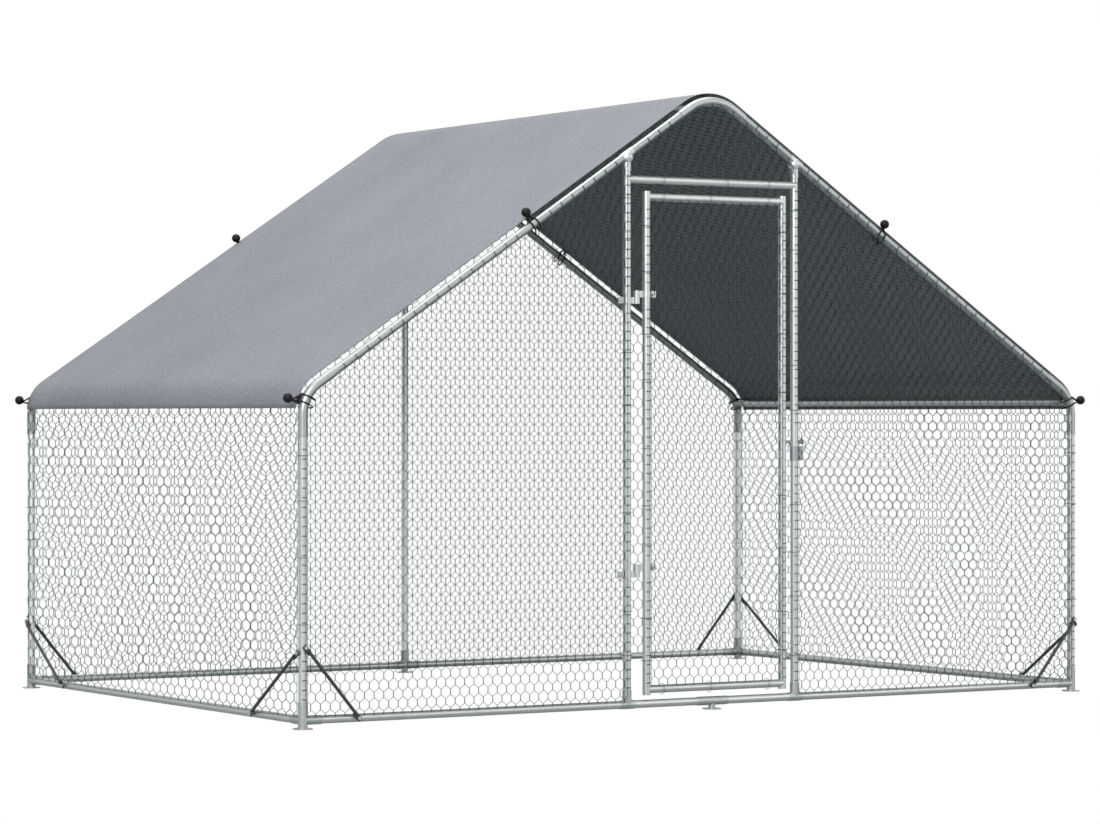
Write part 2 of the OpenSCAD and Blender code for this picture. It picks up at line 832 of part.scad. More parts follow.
module front_top_net() {
    x = door_post_x - end_gap;
    outline = [
        [-x, header_z], [x, header_z], [x, slope_z(x)],
        [ridge_chord_x, ridge_chord_z], [0, ridge_z], [-ridge_chord_x, ridge_chord_z],
        [-x, slope_z(x)]
    ];
    color(WIRE) upright() net(outline, [-x, header_z], [x, ridge_z]) {
        both_sides() boss_notch(0);
        both_sides() boss_notch(selvedge);
    }
}

module back_net() {
    left = half_gable(0);
    outline = concat(
        [left[0]], [for (i = [0, 5, 4, 3]) [-left[i][0], left[i][1]]],
        [[ridge_chord_x, ridge_chord_z], [0, ridge_z], [-ridge_chord_x, ridge_chord_z]],
        [for (i = [3, 4, 5]) left[i]]
    );
    color(WIRE) gable(BACK) upright() net(outline, [-half_w, rail_z], [half_w, ridge_z]) {
        both_sides() gable_notches(0);
        both_sides() gable_notches(selvedge);
    }
}

module side_net(s) {
    outline = [[-half_d, rail_z], [half_d, rail_z], [half_d, eave_z], [-half_d, eave_z]];
    color(WIRE) side(s) translate([-half_w - net_in, 0, 0]) rotate([90, 0, -90])
        net(outline, [-half_d, rail_z], [half_d, eave_z]) {
            both_sides() side_notches(0);
            both_sides() side_notches(selvedge);
        }
}

// A roof net lies above the rafters, on skirts folded down along both gables
module roof_net(s) {
    length = rafter_len - 2 * side_socket;
    outline = [[0, -roof_net_y], [length, -roof_net_y], [length, roof_net_y], [0, roof_net_y]];
    color(WIRE) side(s) translate([0, half_d, 0]) on_rafter() translate([side_socket, 0, roof_net_lift]) {
        net(outline, [0, -roof_net_y], [length, roof_net_y]);
        for (y = [-roof_net_y, roof_net_y - net_t])
            translate([0, y, skirt_in - roof_net_lift])
                cube([length, net_t, roof_net_lift - skirt_in + net_t / 2]);
    }
}

module door_net() {
    outline = [
        [hinge_stile_x, door_bottom_z], [latch_stile_x, door_bottom_z],
        [latch_stile_x, door_top_z], [hinge_stile_x, door_top_z]
    ];
    color(WIRE) upright()
        net(outline, [hinge_stile_x, door_bottom_z], [latch_stile_x, door_top_z]);
}

// Cover and bungees

// Points along part of a circle about a centre, from one angle to another
function arc(centre, r, from, to) = [for (i = [0 : cover_steps])
    let (a = from + (to - from) * i / cover_steps) centre + r * [cos(a), sin(a)]];

// One face of the cover in the XZ plane, from its left edge to its right edge
function cover_face(lift) = concat(
    arc([-half_w + eave_bend_r, bend_z], eave_bend_r + lift, 180 - cover_angle, 180 - bend_turn),
    arc([0, ridge_centre_z], apex_bend_r + lift, 90 + roof_pitch, 90 - roof_pitch),
    arc([half_w - eave_bend_r, bend_z], eave_bend_r + lift, bend_turn, cover_angle)
);

module roof_cover() {
    face = cover_face(cover_in);
    outline = concat(cover_face(cover_out), [for (i = [len(face) - 1 : -1 : 0]) face[i]]);
    color(CLOTH) translate([0, cover_y, 0]) rotate([90, 0, 0])
        linear_extrude(2 * cover_y) polygon(outline);
}

// A straight cord between two points
module cord(from, to) {
    v = to - from;
    translate(from) rotate([0, acos(v[2] / norm(v)), atan2(v[1], v[0])])
        cylinder(d = cord_d - seat, h = norm(v));
}

// One turn of cord round a tube along X
module strand_turn(around) {
    rotate([0, 90, 0]) rotate_extrude() translate([around + seat + cord_d / 2, 0]) circle(d = cord_d);
}

// The leg stops just short of the ball's surface
module strand_leg(foot) {
    ball = [0, ball_inset, ball_lift];
    cord(foot, ball + unit(foot - ball) * (ball_d / 2 + end_gap));
}

module bungee_ball() {
    translate([0, ball_inset, ball_lift]) sphere(d = ball_d);
}

module slope_bungee() {
    for (x = [-slope_loop / 2, slope_loop / 2]) {
        translate([x, 0, 0]) strand_turn(tube_r);
        strand_leg([x, 0, tube_r + seat + cord_d / 2]);
    }
    bungee_ball();
}

// The turns lean apart, square to the bend that they go round
module eave_bungee() {
    ring = bend_r + seat + cord_d / 2;
    for (a = [-eave_loop_half, eave_loop_half]) {
        translate([0, 0, -eave_bend_r]) rotate([0, a, 0]) translate([0, 0, eave_bend_r])
            strand_turn(bend_r);
        strand_leg([(eave_bend_r + ring) * sin(a), 0, (eave_bend_r + ring) * cos(a) - eave_bend_r]);
    }
    bungee_ball();
}

module ball_bungees() {
    color(BLACK) for (sx = [LEFT, RIGHT], sy = [FRONT, BACK]) side(sx) gable(sy) {
        on_rafter() translate([bungee_s, 0, 0]) slope_bungee();
        on_eave_bend(eave_angle) eave_bungee();
    }
}

corner_post(LEFT, FRONT);  // front_left_post
corner_post(RIGHT, FRONT);  // front_right_post
corner_post(LEFT, BACK);  // back_left_post
corner_post(RIGHT, BACK);  // back_right_post
back_centre_post();
door_post(LEFT);  // left_door_post
door_post(RIGHT);  // right_door_post
rafter(LEFT, FRONT);  // front_left_rafter
rafter(RIGHT, FRONT);  // front_right_rafter
rafter(LEFT, BACK);  // back_left_rafter
rafter(RIGHT, BACK);  // back_right_rafter
ridge_pole();
eave_rail(LEFT);  // left_eave_rail
eave_rail(RIGHT);  // right_eave_rail
gable_rail(LEFT, FRONT);  // front_left_rail
gable_rail(RIGHT, FRONT);  // front_right_rail
gable_rail(LEFT, BACK);  // back_left_rail
gable_rail(RIGHT, BACK);  // back_right_rail
side_rail(LEFT);  // left_rail
side_rail(RIGHT);  // right_rail
corner_foot(LEFT, FRONT);  // front_left_foot
corner_foot(RIGHT, FRONT);  // front_right_foot
corner_foot(LEFT, BACK);  // back_left_foot
corner_foot(RIGHT, BACK);  // back_right_foot
front_middle_foot();
back_middle_foot();
eave_joint(LEFT, FRONT);  // front_left_eave_joint
eave_joint(RIGHT, FRONT);  // front_right_eave_joint
eave_joint(LEFT, BACK);  // back_left_eave_joint
eave_joint(RIGHT, BACK);  // back_right_eave_joint
front_ridge_joint();
back_ridge_joint();
door_header();
door_post_tees();
door_post_brackets();
corner_braces(LEFT, FRONT);  // front_left_braces
corner_braces(RIGHT, FRONT);  // front_right_braces
corner_braces(LEFT, BACK);  // back_left_braces
corner_braces(RIGHT, BACK);  // back_right_braces
frame_bolts();
hinge_stile();
latch_stile();
door_rail(door_top_z);  // door_top_rail
door_rail(door_bottom_z);  // door_bottom_rail
hinge_post_straps();
hinge_door_straps();
door_bolts();
latch_clamp();
latch_rod();
front_side_net(LEFT);  // front_left_net
front_side_net(RIGHT);  // front_right_net
front_top_net();
back_net();
side_net(LEFT);  // left_net
side_net(RIGHT);  // right_net
roof_net(LEFT);  // left_roof_net
roof_net(RIGHT);  // right_roof_net
door_net();
roof_cover();
ball_bungees();
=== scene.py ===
"""Looks for a walk-in chicken run: tubes, hexagonal netting, a roof cover and its ball bungees."""

import json
import logging
import math
from dataclasses import dataclass, field
from enum import Enum

import bpy
import numpy as np
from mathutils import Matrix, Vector


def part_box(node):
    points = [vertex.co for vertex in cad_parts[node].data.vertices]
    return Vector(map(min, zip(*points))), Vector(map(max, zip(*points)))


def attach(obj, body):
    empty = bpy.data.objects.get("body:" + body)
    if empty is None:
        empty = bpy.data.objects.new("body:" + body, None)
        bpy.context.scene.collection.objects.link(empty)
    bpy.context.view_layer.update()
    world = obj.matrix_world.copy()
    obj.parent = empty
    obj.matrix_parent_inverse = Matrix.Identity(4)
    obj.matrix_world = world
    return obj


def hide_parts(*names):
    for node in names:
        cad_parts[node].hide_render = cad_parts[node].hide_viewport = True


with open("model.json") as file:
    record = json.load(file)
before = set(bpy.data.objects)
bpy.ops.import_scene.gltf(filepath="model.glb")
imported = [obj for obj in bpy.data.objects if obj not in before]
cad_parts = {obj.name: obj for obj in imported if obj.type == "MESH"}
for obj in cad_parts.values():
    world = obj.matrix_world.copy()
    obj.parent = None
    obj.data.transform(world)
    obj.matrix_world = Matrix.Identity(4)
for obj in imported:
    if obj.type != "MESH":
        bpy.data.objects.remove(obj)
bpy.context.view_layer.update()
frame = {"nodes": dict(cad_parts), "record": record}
log = logging.getLogger("chicken_run")

Point = tuple[float, float]
Place = tuple[float, float, float]


class Body(Enum):
    """The rigid bodies that a piece can ride on."""

    FRAME = "frame"
    DOOR = "door"


class Slot(Enum):
    """The record's material slots."""

    TUBE = "tube"
    CONNECTOR = "connector"
    BRACE = "brace"
    FIXINGS = "fixings"
    WIRE = "wire"
    COVER = "cover_fabric"
    BUNGEE = "bungee"


# Materials


def linear(code: str) -> tuple[float, float, float, float]:
    """Turns an sRGB hex colour into linear light.

    Args:
        code: six hex digits after a hash sign.

    Returns:
        Linear red, green and blue, and full alpha.
    """
    parts = [int(code[i : i + 2], 16) / 255 for i in (1, 3, 5)]
    red, green, blue = (c / 12.92 if c <= 0.04045 else ((c + 0.055) / 1.055) ** 2.4 for c in parts)
    return red, green, blue, 1.0


def add(tree: bpy.types.NodeTree, kind: str, values: dict | None = None, **settings) -> bpy.types.Node:
    """Adds a node with its settings, values and links.

    Args:
        tree: the node tree.
        kind: the node's type name.
        values: what each input, by name or number, is set to or linked from; a list links several.
        **settings: the node's own properties.

    Returns:
        The new node.
    """
    node = tree.nodes.new(kind)
    for key, value in settings.items():
        setattr(node, key, value)
    for key, value in (values or {}).items():
        sources = value if isinstance(value, list) else [value]
        if isinstance(sources[0], bpy.types.NodeSocket):
            for source in sources:
                tree.links.new(source, node.inputs[key])
        else:
            node.inputs[key].default_value = value
    return node


@dataclass(frozen=True)
class Finish:
    """A plain surface with one colour.

    Attributes:
        name: the material's name.
        colour: sRGB hex colour.
        roughness: how rough the surface is, from 0 to 1.
        metallic: 1 for bare metal, 0 for anything else.
        ior: index of refraction.
    """

    name: str
    colour: str
    roughness: float
    metallic: float = 0.0
    ior: float = 1.5

    def start(self) -> tuple[bpy.types.Material, bpy.types.NodeTree, bpy.types.Node]:
        """Makes the material with its plain surface.

        Returns:
            The material, its node tree and its surface node.
        """
        material = bpy.data.materials.new(self.name)
        material.use_nodes = True
        tree = material.node_tree
        surface = tree.nodes["Principled BSDF"]
        surface.inputs["Base Color"].default_value = linear(self.colour)
        surface.inputs["Roughness"].default_value = self.roughness
        surface.inputs["Metallic"].default_value = self.metallic
        surface.inputs["IOR"].default_value = self.ior
        material.diffuse_color = linear(self.colour)
        return material, tree, surface

    def blend(self, tree: bpy.types.NodeTree, amount: bpy.types.NodeSocket, other: str) -> None:
        """Mixes a second colour into the surface.

        Args:
            tree: the material's node tree.
            amount: how much of the second colour shows.
            other: sRGB hex colour.
        """
        colour = add(
            tree,
            "ShaderNodeMix",
            {"Factor": amount, 6: linear(self.colour), 7: linear(other)},
            data_type="RGBA",
        )
        tree.links.new(colour.outputs[2], tree.nodes["Principled BSDF"].inputs["Base Color"])

    def build(self) -> bpy.types.Material:
        """Makes the material."""
        return self.start()[0]


@dataclass(frozen=True)
class Galvanised(Finish):
    """Zinc-coated steel with faint crystals and dull patches.

    Attributes:
        dull: sRGB hex colour of the dull patches.
        crystal: width of a zinc crystal in metres.
        patch: width of a dull patch in metres.
        smoother: how much less rough the smoothest places are.
        rougher: how much rougher the roughest places are.
    """

    dull: str = "#A9AEAD"
    crystal: float = 0.004
    patch: float = 0.06
    smoother: float = 0.06
    rougher: float = 0.08

    def build(self) -> bpy.types.Material:
        """Makes the material.

        Returns:
            The finished material.
        """
        material, tree, surface = self.start()
        place = add(tree, "ShaderNodeTexCoord").outputs["Object"]
        crystals = add(tree, "ShaderNodeTexVoronoi", {"Vector": place, "Scale": 1 / self.crystal})
        noise = {"Vector": place, "Scale": 1 / self.patch, "Detail": 4.0}
        patch = add(tree, "ShaderNodeTexNoise", noise).outputs[0]
        shade = add(tree, "ShaderNodeSeparateColor", {0: crystals.outputs["Color"]})
        amount = add(tree, "ShaderNodeMath", {0: shade.outputs[0], 1: patch}, operation="MULTIPLY")
        self.blend(tree, amount.outputs[0], self.dull)
        limits = {3: self.roughness - self.smoother, 4: self.roughness + self.rougher}
        rough = add(tree, "ShaderNodeMapRange", {"Value": patch, **limits})
        tree.links.new(rough.outputs[0], surface.inputs["Roughness"])
        return material


@dataclass(frozen=True)
class Cloth(Finish):
    """Coated woven cloth with a fine speckle.

    Attributes:
        speckle: sRGB hex colour of the speckle.
        grain: size of the speckle in metres.
        cloud: size of its broad clouds in metres.
        cloud_share: how much the clouds add to the speckle.
        shown: the noise at which the speckle starts to show, and at which it shows in full.
        weave: spacing of the threads in metres.
        relief: height of the weave in metres.
    """

    speckle: str = "#85878F"
    grain: float = 0.006
    cloud: float = 0.36
    cloud_share: float = 0.25
    shown: Point = (0.45, 0.8)
    weave: float = 0.002
    relief: float = 0.0002

    def build(self) -> bpy.types.Material:
        """Makes the material.

        Returns:
            The finished material.
        """
        material, tree, surface = self.start()
        place = add(tree, "ShaderNodeTexCoord").outputs["Object"]
        fine = add(tree, "ShaderNodeTexNoise", {"Vector": place, "Scale": 1 / self.grain, "Detail": 3.0})
        broad = add(tree, "ShaderNodeTexNoise", {"Vector": place, "Scale": 1 / self.cloud, "Detail": 2.0})
        terms = {0: broad.outputs[0], 1: self.cloud_share, 2: fine.outputs[0]}
        both = add(tree, "ShaderNodeMath", terms, operation="MULTIPLY_ADD")
        limits = {1: self.shown[0], 2: self.shown[1]}
        amount = add(tree, "ShaderNodeMapRange", {"Value": both.outputs[0], **limits})
        self.blend(tree, amount.outputs[0], self.speckle)
        threads = add(tree, "ShaderNodeTexVoronoi", {"Vector": place, "Scale": 1 / self.weave})
        bump = add(tree, "ShaderNodeBump", {"Height": threads.outputs["Distance"], "Distance": self.relief})
        tree.links.new(bump.outputs[0], surface.inputs["Normal"])
        return material


@dataclass
class Finishes:
    """Every material of the run, by what it is used on.

    Attributes:
        by_slot: the material of each slot.
        underside: the cover's lower side.
        shade_painted_wire: the roof nets' wire, a paler grey copy of the netting wire, as painted shade for
            how it looks in the cover's shade.
        latch_zinc: the latch.
        roof_painted_shade_zinc: the rafters and the eave bends, a darker copy of the tube's zinc, as
            painted shade.
        back_painted_light_zinc: the back's posts, a paler copy of the tube's zinc, as painted light that
            makes up for the shade they stand in.
        bright: pieces that look like tube, whatever their slot.
        dark: pieces that look like the latch.
        painted_shade_ends: how the names of the pieces end that take that darker copy, painted shade on the
            rafters and the eave bends.
        pale: pieces that take the paler copy of the tube's zinc, painted light on the back's posts.
    """

    by_slot: dict[Slot, bpy.types.Material] = field(default_factory=dict)
    underside: bpy.types.Material | None = None
    shade_painted_wire: bpy.types.Material | None = None
    latch_zinc: bpy.types.Material | None = None
    roof_painted_shade_zinc: bpy.types.Material | None = None
    back_painted_light_zinc: bpy.types.Material | None = None
    bright: tuple[str, ...] = ("door_post_brackets",)
    dark: tuple[str, ...] = ("latch_clamp", "latch_rod")
    painted_shade_ends: tuple[str, ...] = ("_rafter", "_eave_joint")
    pale: tuple[str, ...] = ("back_left_post", "back_right_post", "back_centre_post")

    def build(self) -> None:
        """Makes the materials."""
        kinds = {
            Slot.TUBE: Galvanised("galvanised_tube", "#BFC3C2", 0.38, 0.92, 1.5),
            Slot.CONNECTOR: Galvanised("galvanised_connector", "#ABB0AF", 0.42, 0.9, 1.5, dull="#989D9C"),
            Slot.BRACE: Finish("black_paint", "#2A2D2E", 0.3),
            Slot.FIXINGS: Finish("zinc_fixings", "#B4B8B8", 0.36, 0.9),
            Slot.WIRE: Finish("netting_wire", "#153A3C", 0.5, 0.2),
            Slot.COVER: Cloth("cover_top", "#7C7E85", 0.7, speckle="#606267"),
            Slot.BUNGEE: Finish("black_plastic", "#050506", 0.5, ior=1.3),
        }
        for slot, finish in kinds.items():
            self.by_slot[slot] = finish.build()
        self.underside = Cloth("cover_underside", "#6C7171", 0.75, speckle="#626767").build()
        # Painted shade: the roof nets take the same netting wire in a paler grey, for how it looks in the
        # shade under the cover.
        self.shade_painted_wire = Finish("roof_netting_wire_painted_shade", "#565C5C", 0.6, 0.2).build()
        self.latch_zinc = Finish("latch_zinc", "#949999", 0.45, 0.9).build()
        # Painted light: the back's posts take a paler copy of the tube's zinc, to make up for the shade
        # under the cover and behind the nets.
        self.back_painted_light_zinc = Galvanised("galvanised_back_painted_light", "#E0E4E3", 0.38, 0.92, dull="#CDD2D1").build()
        # Painted shade: the rafters and the eave bends take a darker copy of the tube's zinc, for the shade
        # of the cover's edges over them.
        self.roof_painted_shade_zinc = Galvanised("galvanised_roof_painted_shade", "#A3A8A7", 0.40, 0.92, dull="#8F9493").build()

    def dress_frame(self) -> None:
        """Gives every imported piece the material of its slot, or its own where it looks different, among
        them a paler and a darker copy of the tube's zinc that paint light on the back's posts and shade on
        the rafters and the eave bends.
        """
        slots = {row["node"]: Slot(row["material_slot"]) for row in frame["record"]["subparts"]}
        for name, piece in frame["nodes"].items():
            piece.data.materials.clear()
            finish = self.by_slot[Slot.TUBE if name in self.bright else slots[name]]
            if name in self.dark:
                finish = self.latch_zinc
            # The back's posts take the paler copy as painted light.
            elif name in self.pale:
                finish = self.back_painted_light_zinc
            # The rafters and the eave bends take the darker copy as painted shade.
            elif name.endswith(self.painted_shade_ends):
                finish = self.roof_painted_shade_zinc
            piece.data.materials.append(finish)
            log.info("%s takes %s", name, finish.name)


# Sizes and places


def middle(node: str) -> Vector:
    """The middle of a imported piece's box, in metres."""
    low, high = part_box(node)
    return (low + high) / 2


@dataclass(frozen=True)
class RunSizes:
    """The frame's main lines in metres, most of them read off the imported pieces.

    Attributes:
        half_w: distance of the corner posts' axes from the middle along X.
        half_d: distance of the gables' axes from the middle along Y.
        rail_z: height of the ground rails' axes.
        eave_z: height of the eave rails' axes.
        door_post_x: distance of the door posts from the middle.
        header_z: height of the header's axis.
        hinge_stile_x: place of the hinge stile.
        latch_stile_x: place of the latch stile.
        door_top_z: height of the door's top rail.
        door_bottom_z: height of the door's bottom rail.
        cover_edge_z: height of the cover's lower edges.
        cover_y: distance of the cover's edges from the middle along Y.
        tube_r: radius of the tubes.
        pitch: pitch of the roof in radians.
        eave_rise: height of the eave rails above the start of the eave bends.
        eave_bend_r: radius of the eave bends.
        apex_bend_r: radius of the ridge bends.
    """

    half_w: float
    half_d: float
    rail_z: float
    eave_z: float
    door_post_x: float
    header_z: float
    hinge_stile_x: float
    latch_stile_x: float
    door_top_z: float
    door_bottom_z: float
    cover_edge_z: float
    cover_y: float
    tube_r: float
    pitch: float = math.radians(33.4)
    eave_rise: float = 0.044
    eave_bend_r: float = 0.108
    apex_bend_r: float = 0.155

    @classmethod
    def read(cls) -> "RunSizes":
        """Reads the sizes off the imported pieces.

        Returns:
            The sizes.
        """
        post = middle("back_right_post")
        low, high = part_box("back_centre_post")
        cover_low, cover_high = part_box("roof_cover")
        return cls(
            half_w=post.x,
            half_d=post.y,
            rail_z=middle("left_rail").z,
            eave_z=middle("left_eave_rail").z,
            door_post_x=middle("right_door_post").x,
            header_z=middle("door_header").z,
            hinge_stile_x=middle("hinge_stile").x,
            latch_stile_x=middle("latch_stile").x,
            door_top_z=middle("door_top_rail").z,
            door_bottom_z=middle("door_bottom_rail").z,
            cover_edge_z=cover_low.z,
            cover_y=cover_high.y,
            tube_r=(high.x - low.x) / 2,
        )

    @property
    def bend_z(self) -> float:
        """Height of the start of the eave bends."""
        return self.eave_z - self.eave_rise

    @property
    def turn(self) -> float:
        """Angle of the eave bends."""
        return math.pi / 2 - self.pitch

    @property
    def rafter_x(self) -> float:
        """Distance of the rafters' lower ends from the middle."""
        return self.half_w - self.eave_bend_r * (1 - math.cos(self.turn))

    @property
    def rafter_z(self) -> float:
        """Height of the rafters' lower ends."""
        return self.bend_z + self.eave_bend_r * math.sin(self.turn)

    @property
    def apex_z(self) -> float:
        """Height at which the rafters' axes would meet."""
        return self.rafter_z + self.rafter_x * math.tan(self.pitch)

    @property
    def ridge_centre_z(self) -> float:
        """Height of the ridge bends' centres."""
        return self.apex_z - self.apex_bend_r / math.cos(self.pitch)

    @property
    def rafter_len(self) -> float:
        """Length of the straight rafters."""
        return (self.rafter_x - self.apex_bend_r * math.sin(self.pitch)) / math.cos(self.pitch)

    def slope_z(self, x: float) -> float:
        """Height of the rafters' axes at a distance from the middle."""
        return self.apex_z - abs(x) * math.tan(self.pitch)

    def eave_arc(self) -> list[Point]:
        """The left eave bend's axis in X and Z, from the rafter down to the post."""
        centre = (-self.half_w + self.eave_bend_r, self.bend_z)
        angles = np.linspace(self.turn, 0, 6)
        return [
            (centre[0] - self.eave_bend_r * math.cos(a), centre[1] + self.eave_bend_r * math.sin(a))
            for a in angles
        ]

    def ridge_arc(self) -> list[Point]:
        """The ridge bend's axis in X and Z, from right to left."""
        angles = np.linspace(self.pitch, -self.pitch, 7)
        return [
            (self.apex_bend_r * math.sin(a), self.ridge_centre_z + self.apex_bend_r * math.cos(a))
            for a in angles
        ]


@dataclass(frozen=True)
class RoofLine:
    """The roof's section across the run, unrolled from the left edge to the right edge.

    Attributes:
        sizes: the frame's main lines.
        lift: height above the tubes' axes in metres.
        pull: how much closer to the tubes the lower edges are drawn.
        pull_reach: how far up from a lower edge that goes.
    """

    sizes: RunSizes
    lift: float
    pull: float = 0.006
    pull_reach: float = 0.16

    @property
    def eave_r(self) -> float:
        """Radius of the section's eave bends."""
        return self.sizes.eave_bend_r + self.lift

    @property
    def apex_r(self) -> float:
        """Radius of the section's ridge bend."""
        return self.sizes.apex_bend_r + self.lift

    @property
    def edge_angle(self) -> float:
        """Angle round the eave bend at which the lower edge lies."""
        return math.asin((self.sizes.cover_edge_z - self.sizes.bend_z) / self.eave_r)

    @property
    def lengths(self) -> tuple[float, float, float]:
        """Lengths of the eave bend, the slope and half of the ridge bend."""
        return (
            self.eave_r * (self.sizes.turn - self.edge_angle),
            self.sizes.rafter_len,
            self.apex_r * self.sizes.pitch,
        )

    @property
    def half(self) -> float:
        """Length from a lower edge to the ridge."""
        return sum(self.lengths)

    def place(self, run: np.ndarray, rise: np.ndarray | float = 0.0) -> tuple[np.ndarray, np.ndarray]:
        """Places points of the unrolled section.

        Args:
            run: distances from the left edge.
            rise: heights off the section.

        Returns:
            X and Z of the points.
        """
        s = self.sizes
        left = run <= self.half
        t = np.where(left, run, 2 * self.half - run)
        eave, slope, _ = self.lengths
        a = self.edge_angle + t / self.eave_r
        b = s.pitch - (t - eave - slope) / self.apex_r
        on_eave = t < eave
        on_slope = (t >= eave) & (t < eave + slope)
        nx = np.where(on_eave, -np.cos(a), np.where(on_slope, -math.sin(s.pitch), -np.sin(b)))
        nz = np.where(on_eave, np.sin(a), np.where(on_slope, math.cos(s.pitch), np.cos(b)))
        along = t - eave
        slope_x = -s.rafter_x + self.lift * nx + along * math.cos(s.pitch)
        slope_z = s.rafter_z + self.lift * nz + along * math.sin(s.pitch)
        eave_x = -s.half_w + s.eave_bend_r + self.eave_r * nx
        x = np.where(on_eave, eave_x, np.where(on_slope, slope_x, self.apex_r * nx))
        ridge_z = s.ridge_centre_z + self.apex_r * nz
        z = np.where(on_eave, s.bend_z + self.eave_r * nz, np.where(on_slope, slope_z, ridge_z))
        rise = rise - self.pull * np.clip(1 - t / self.pull_reach, 0, 1) ** 2
        x = x + nx * rise
        return np.where(left, x, -x), z + nz * rise


# Meshes


def new_piece(
    name: str,
    points: np.ndarray,
    faces: list,
    materials: list[bpy.types.Material],
    picks: np.ndarray | None = None,
) -> bpy.types.Object:
    """Makes a mesh object at the origin.

    Args:
        name: the object's name.
        points: its points, in the row frame.
        faces: its faces, as lists of point numbers.
        materials: its materials.
        picks: which material each face takes, if there are several.

    Returns:
        The object.
    """
    mesh = bpy.data.meshes.new(name)
    mesh.from_pydata(np.asarray(points).tolist(), [], [list(f) for f in faces])
    for material in materials:
        mesh.materials.append(material)
    mesh.polygons.foreach_set("use_smooth", [True] * len(mesh.polygons))
    if picks is not None:
        mesh.polygons.foreach_set("material_index", picks.tolist())
    mesh.update()
    piece = bpy.data.objects.new(name, mesh)
    bpy.context.scene.collection.objects.link(piece)
    return piece


def plain_copy(source: bpy.types.Object) -> bpy.types.Mesh:
    """Turns a piece with modifiers into a plain mesh and takes the modifiers off.

    Args:
        source: the piece.

    Returns:
        The mesh that the modifiers made.
    """
    bpy.context.view_layer.update()
    graph = bpy.context.evaluated_depsgraph_get()
    mesh = bpy.data.meshes.new_from_object(source.evaluated_get(graph))
    source.modifiers.clear()
    return mesh


def read_points(mesh: bpy.types.Mesh) -> np.ndarray:
    """Reads a mesh's points.

    Args:
        mesh: the mesh.

    Returns:
        The points, one row each.
    """
    values = np.zeros(len(mesh.vertices) * 3)
    mesh.vertices.foreach_get("co", values)
    return values.reshape(-1, 3)


def set_inputs(piece: bpy.types.Object, tree: bpy.types.NodeTree, values: dict) -> None:
    """Puts a node tree on a piece and sets its named inputs.

    Args:
        piece: the piece.
        tree: the geometry node tree.
        values: what each input, by name, is set to.
    """
    modifier = piece.modifiers.new(tree.name, "NODES")
    modifier.node_group = tree
    for item in tree.interface.items_tree:
        if item.item_type == "SOCKET" and item.in_out == "INPUT" and item.name in values:
            modifier[item.identifier] = values[item.name]


def new_tree(name: str, inputs: dict) -> tuple[bpy.types.NodeTree, bpy.types.Node]:
    """Starts a geometry node tree, with a material among its inputs.

    Args:
        name: the tree's name.
        inputs: a value of each of its other inputs, by name.

    Returns:
        The tree and its input node.
    """
    kinds = {int: "NodeSocketInt", float: "NodeSocketFloat", tuple: "NodeSocketVector"}
    tree = bpy.data.node_groups.new(name, "GeometryNodeTree")
    tree.interface.new_socket("Geometry", in_out="INPUT", socket_type="NodeSocketGeometry")
    for key, value in inputs.items():
        tree.interface.new_socket(key, in_out="INPUT", socket_type=kinds[type(value)])
    tree.interface.new_socket("Material", in_out="INPUT", socket_type="NodeSocketMaterial")
    tree.interface.new_socket("Geometry", in_out="OUTPUT", socket_type="NodeSocketGeometry")
    return tree, add(tree, "NodeGroupInput")


def end_tree(
    tree: bpy.types.NodeTree, shape: bpy.types.NodeSocket, material: bpy.types.NodeSocket
) -> None:
    """Ends a geometry node tree with real geometry that has its material.

    Args:
        tree: the tree.
        shape: the instances that it made.
        material: the material's socket.
    """
    real = add(tree, "GeometryNodeRealizeInstances", {0: shape})
    done = add(tree, "GeometryNodeSetMaterial", {"Geometry": real.outputs[0], "Material": material})
    add(tree, "NodeGroupOutput", {0: done.outputs[0]})


# Netting


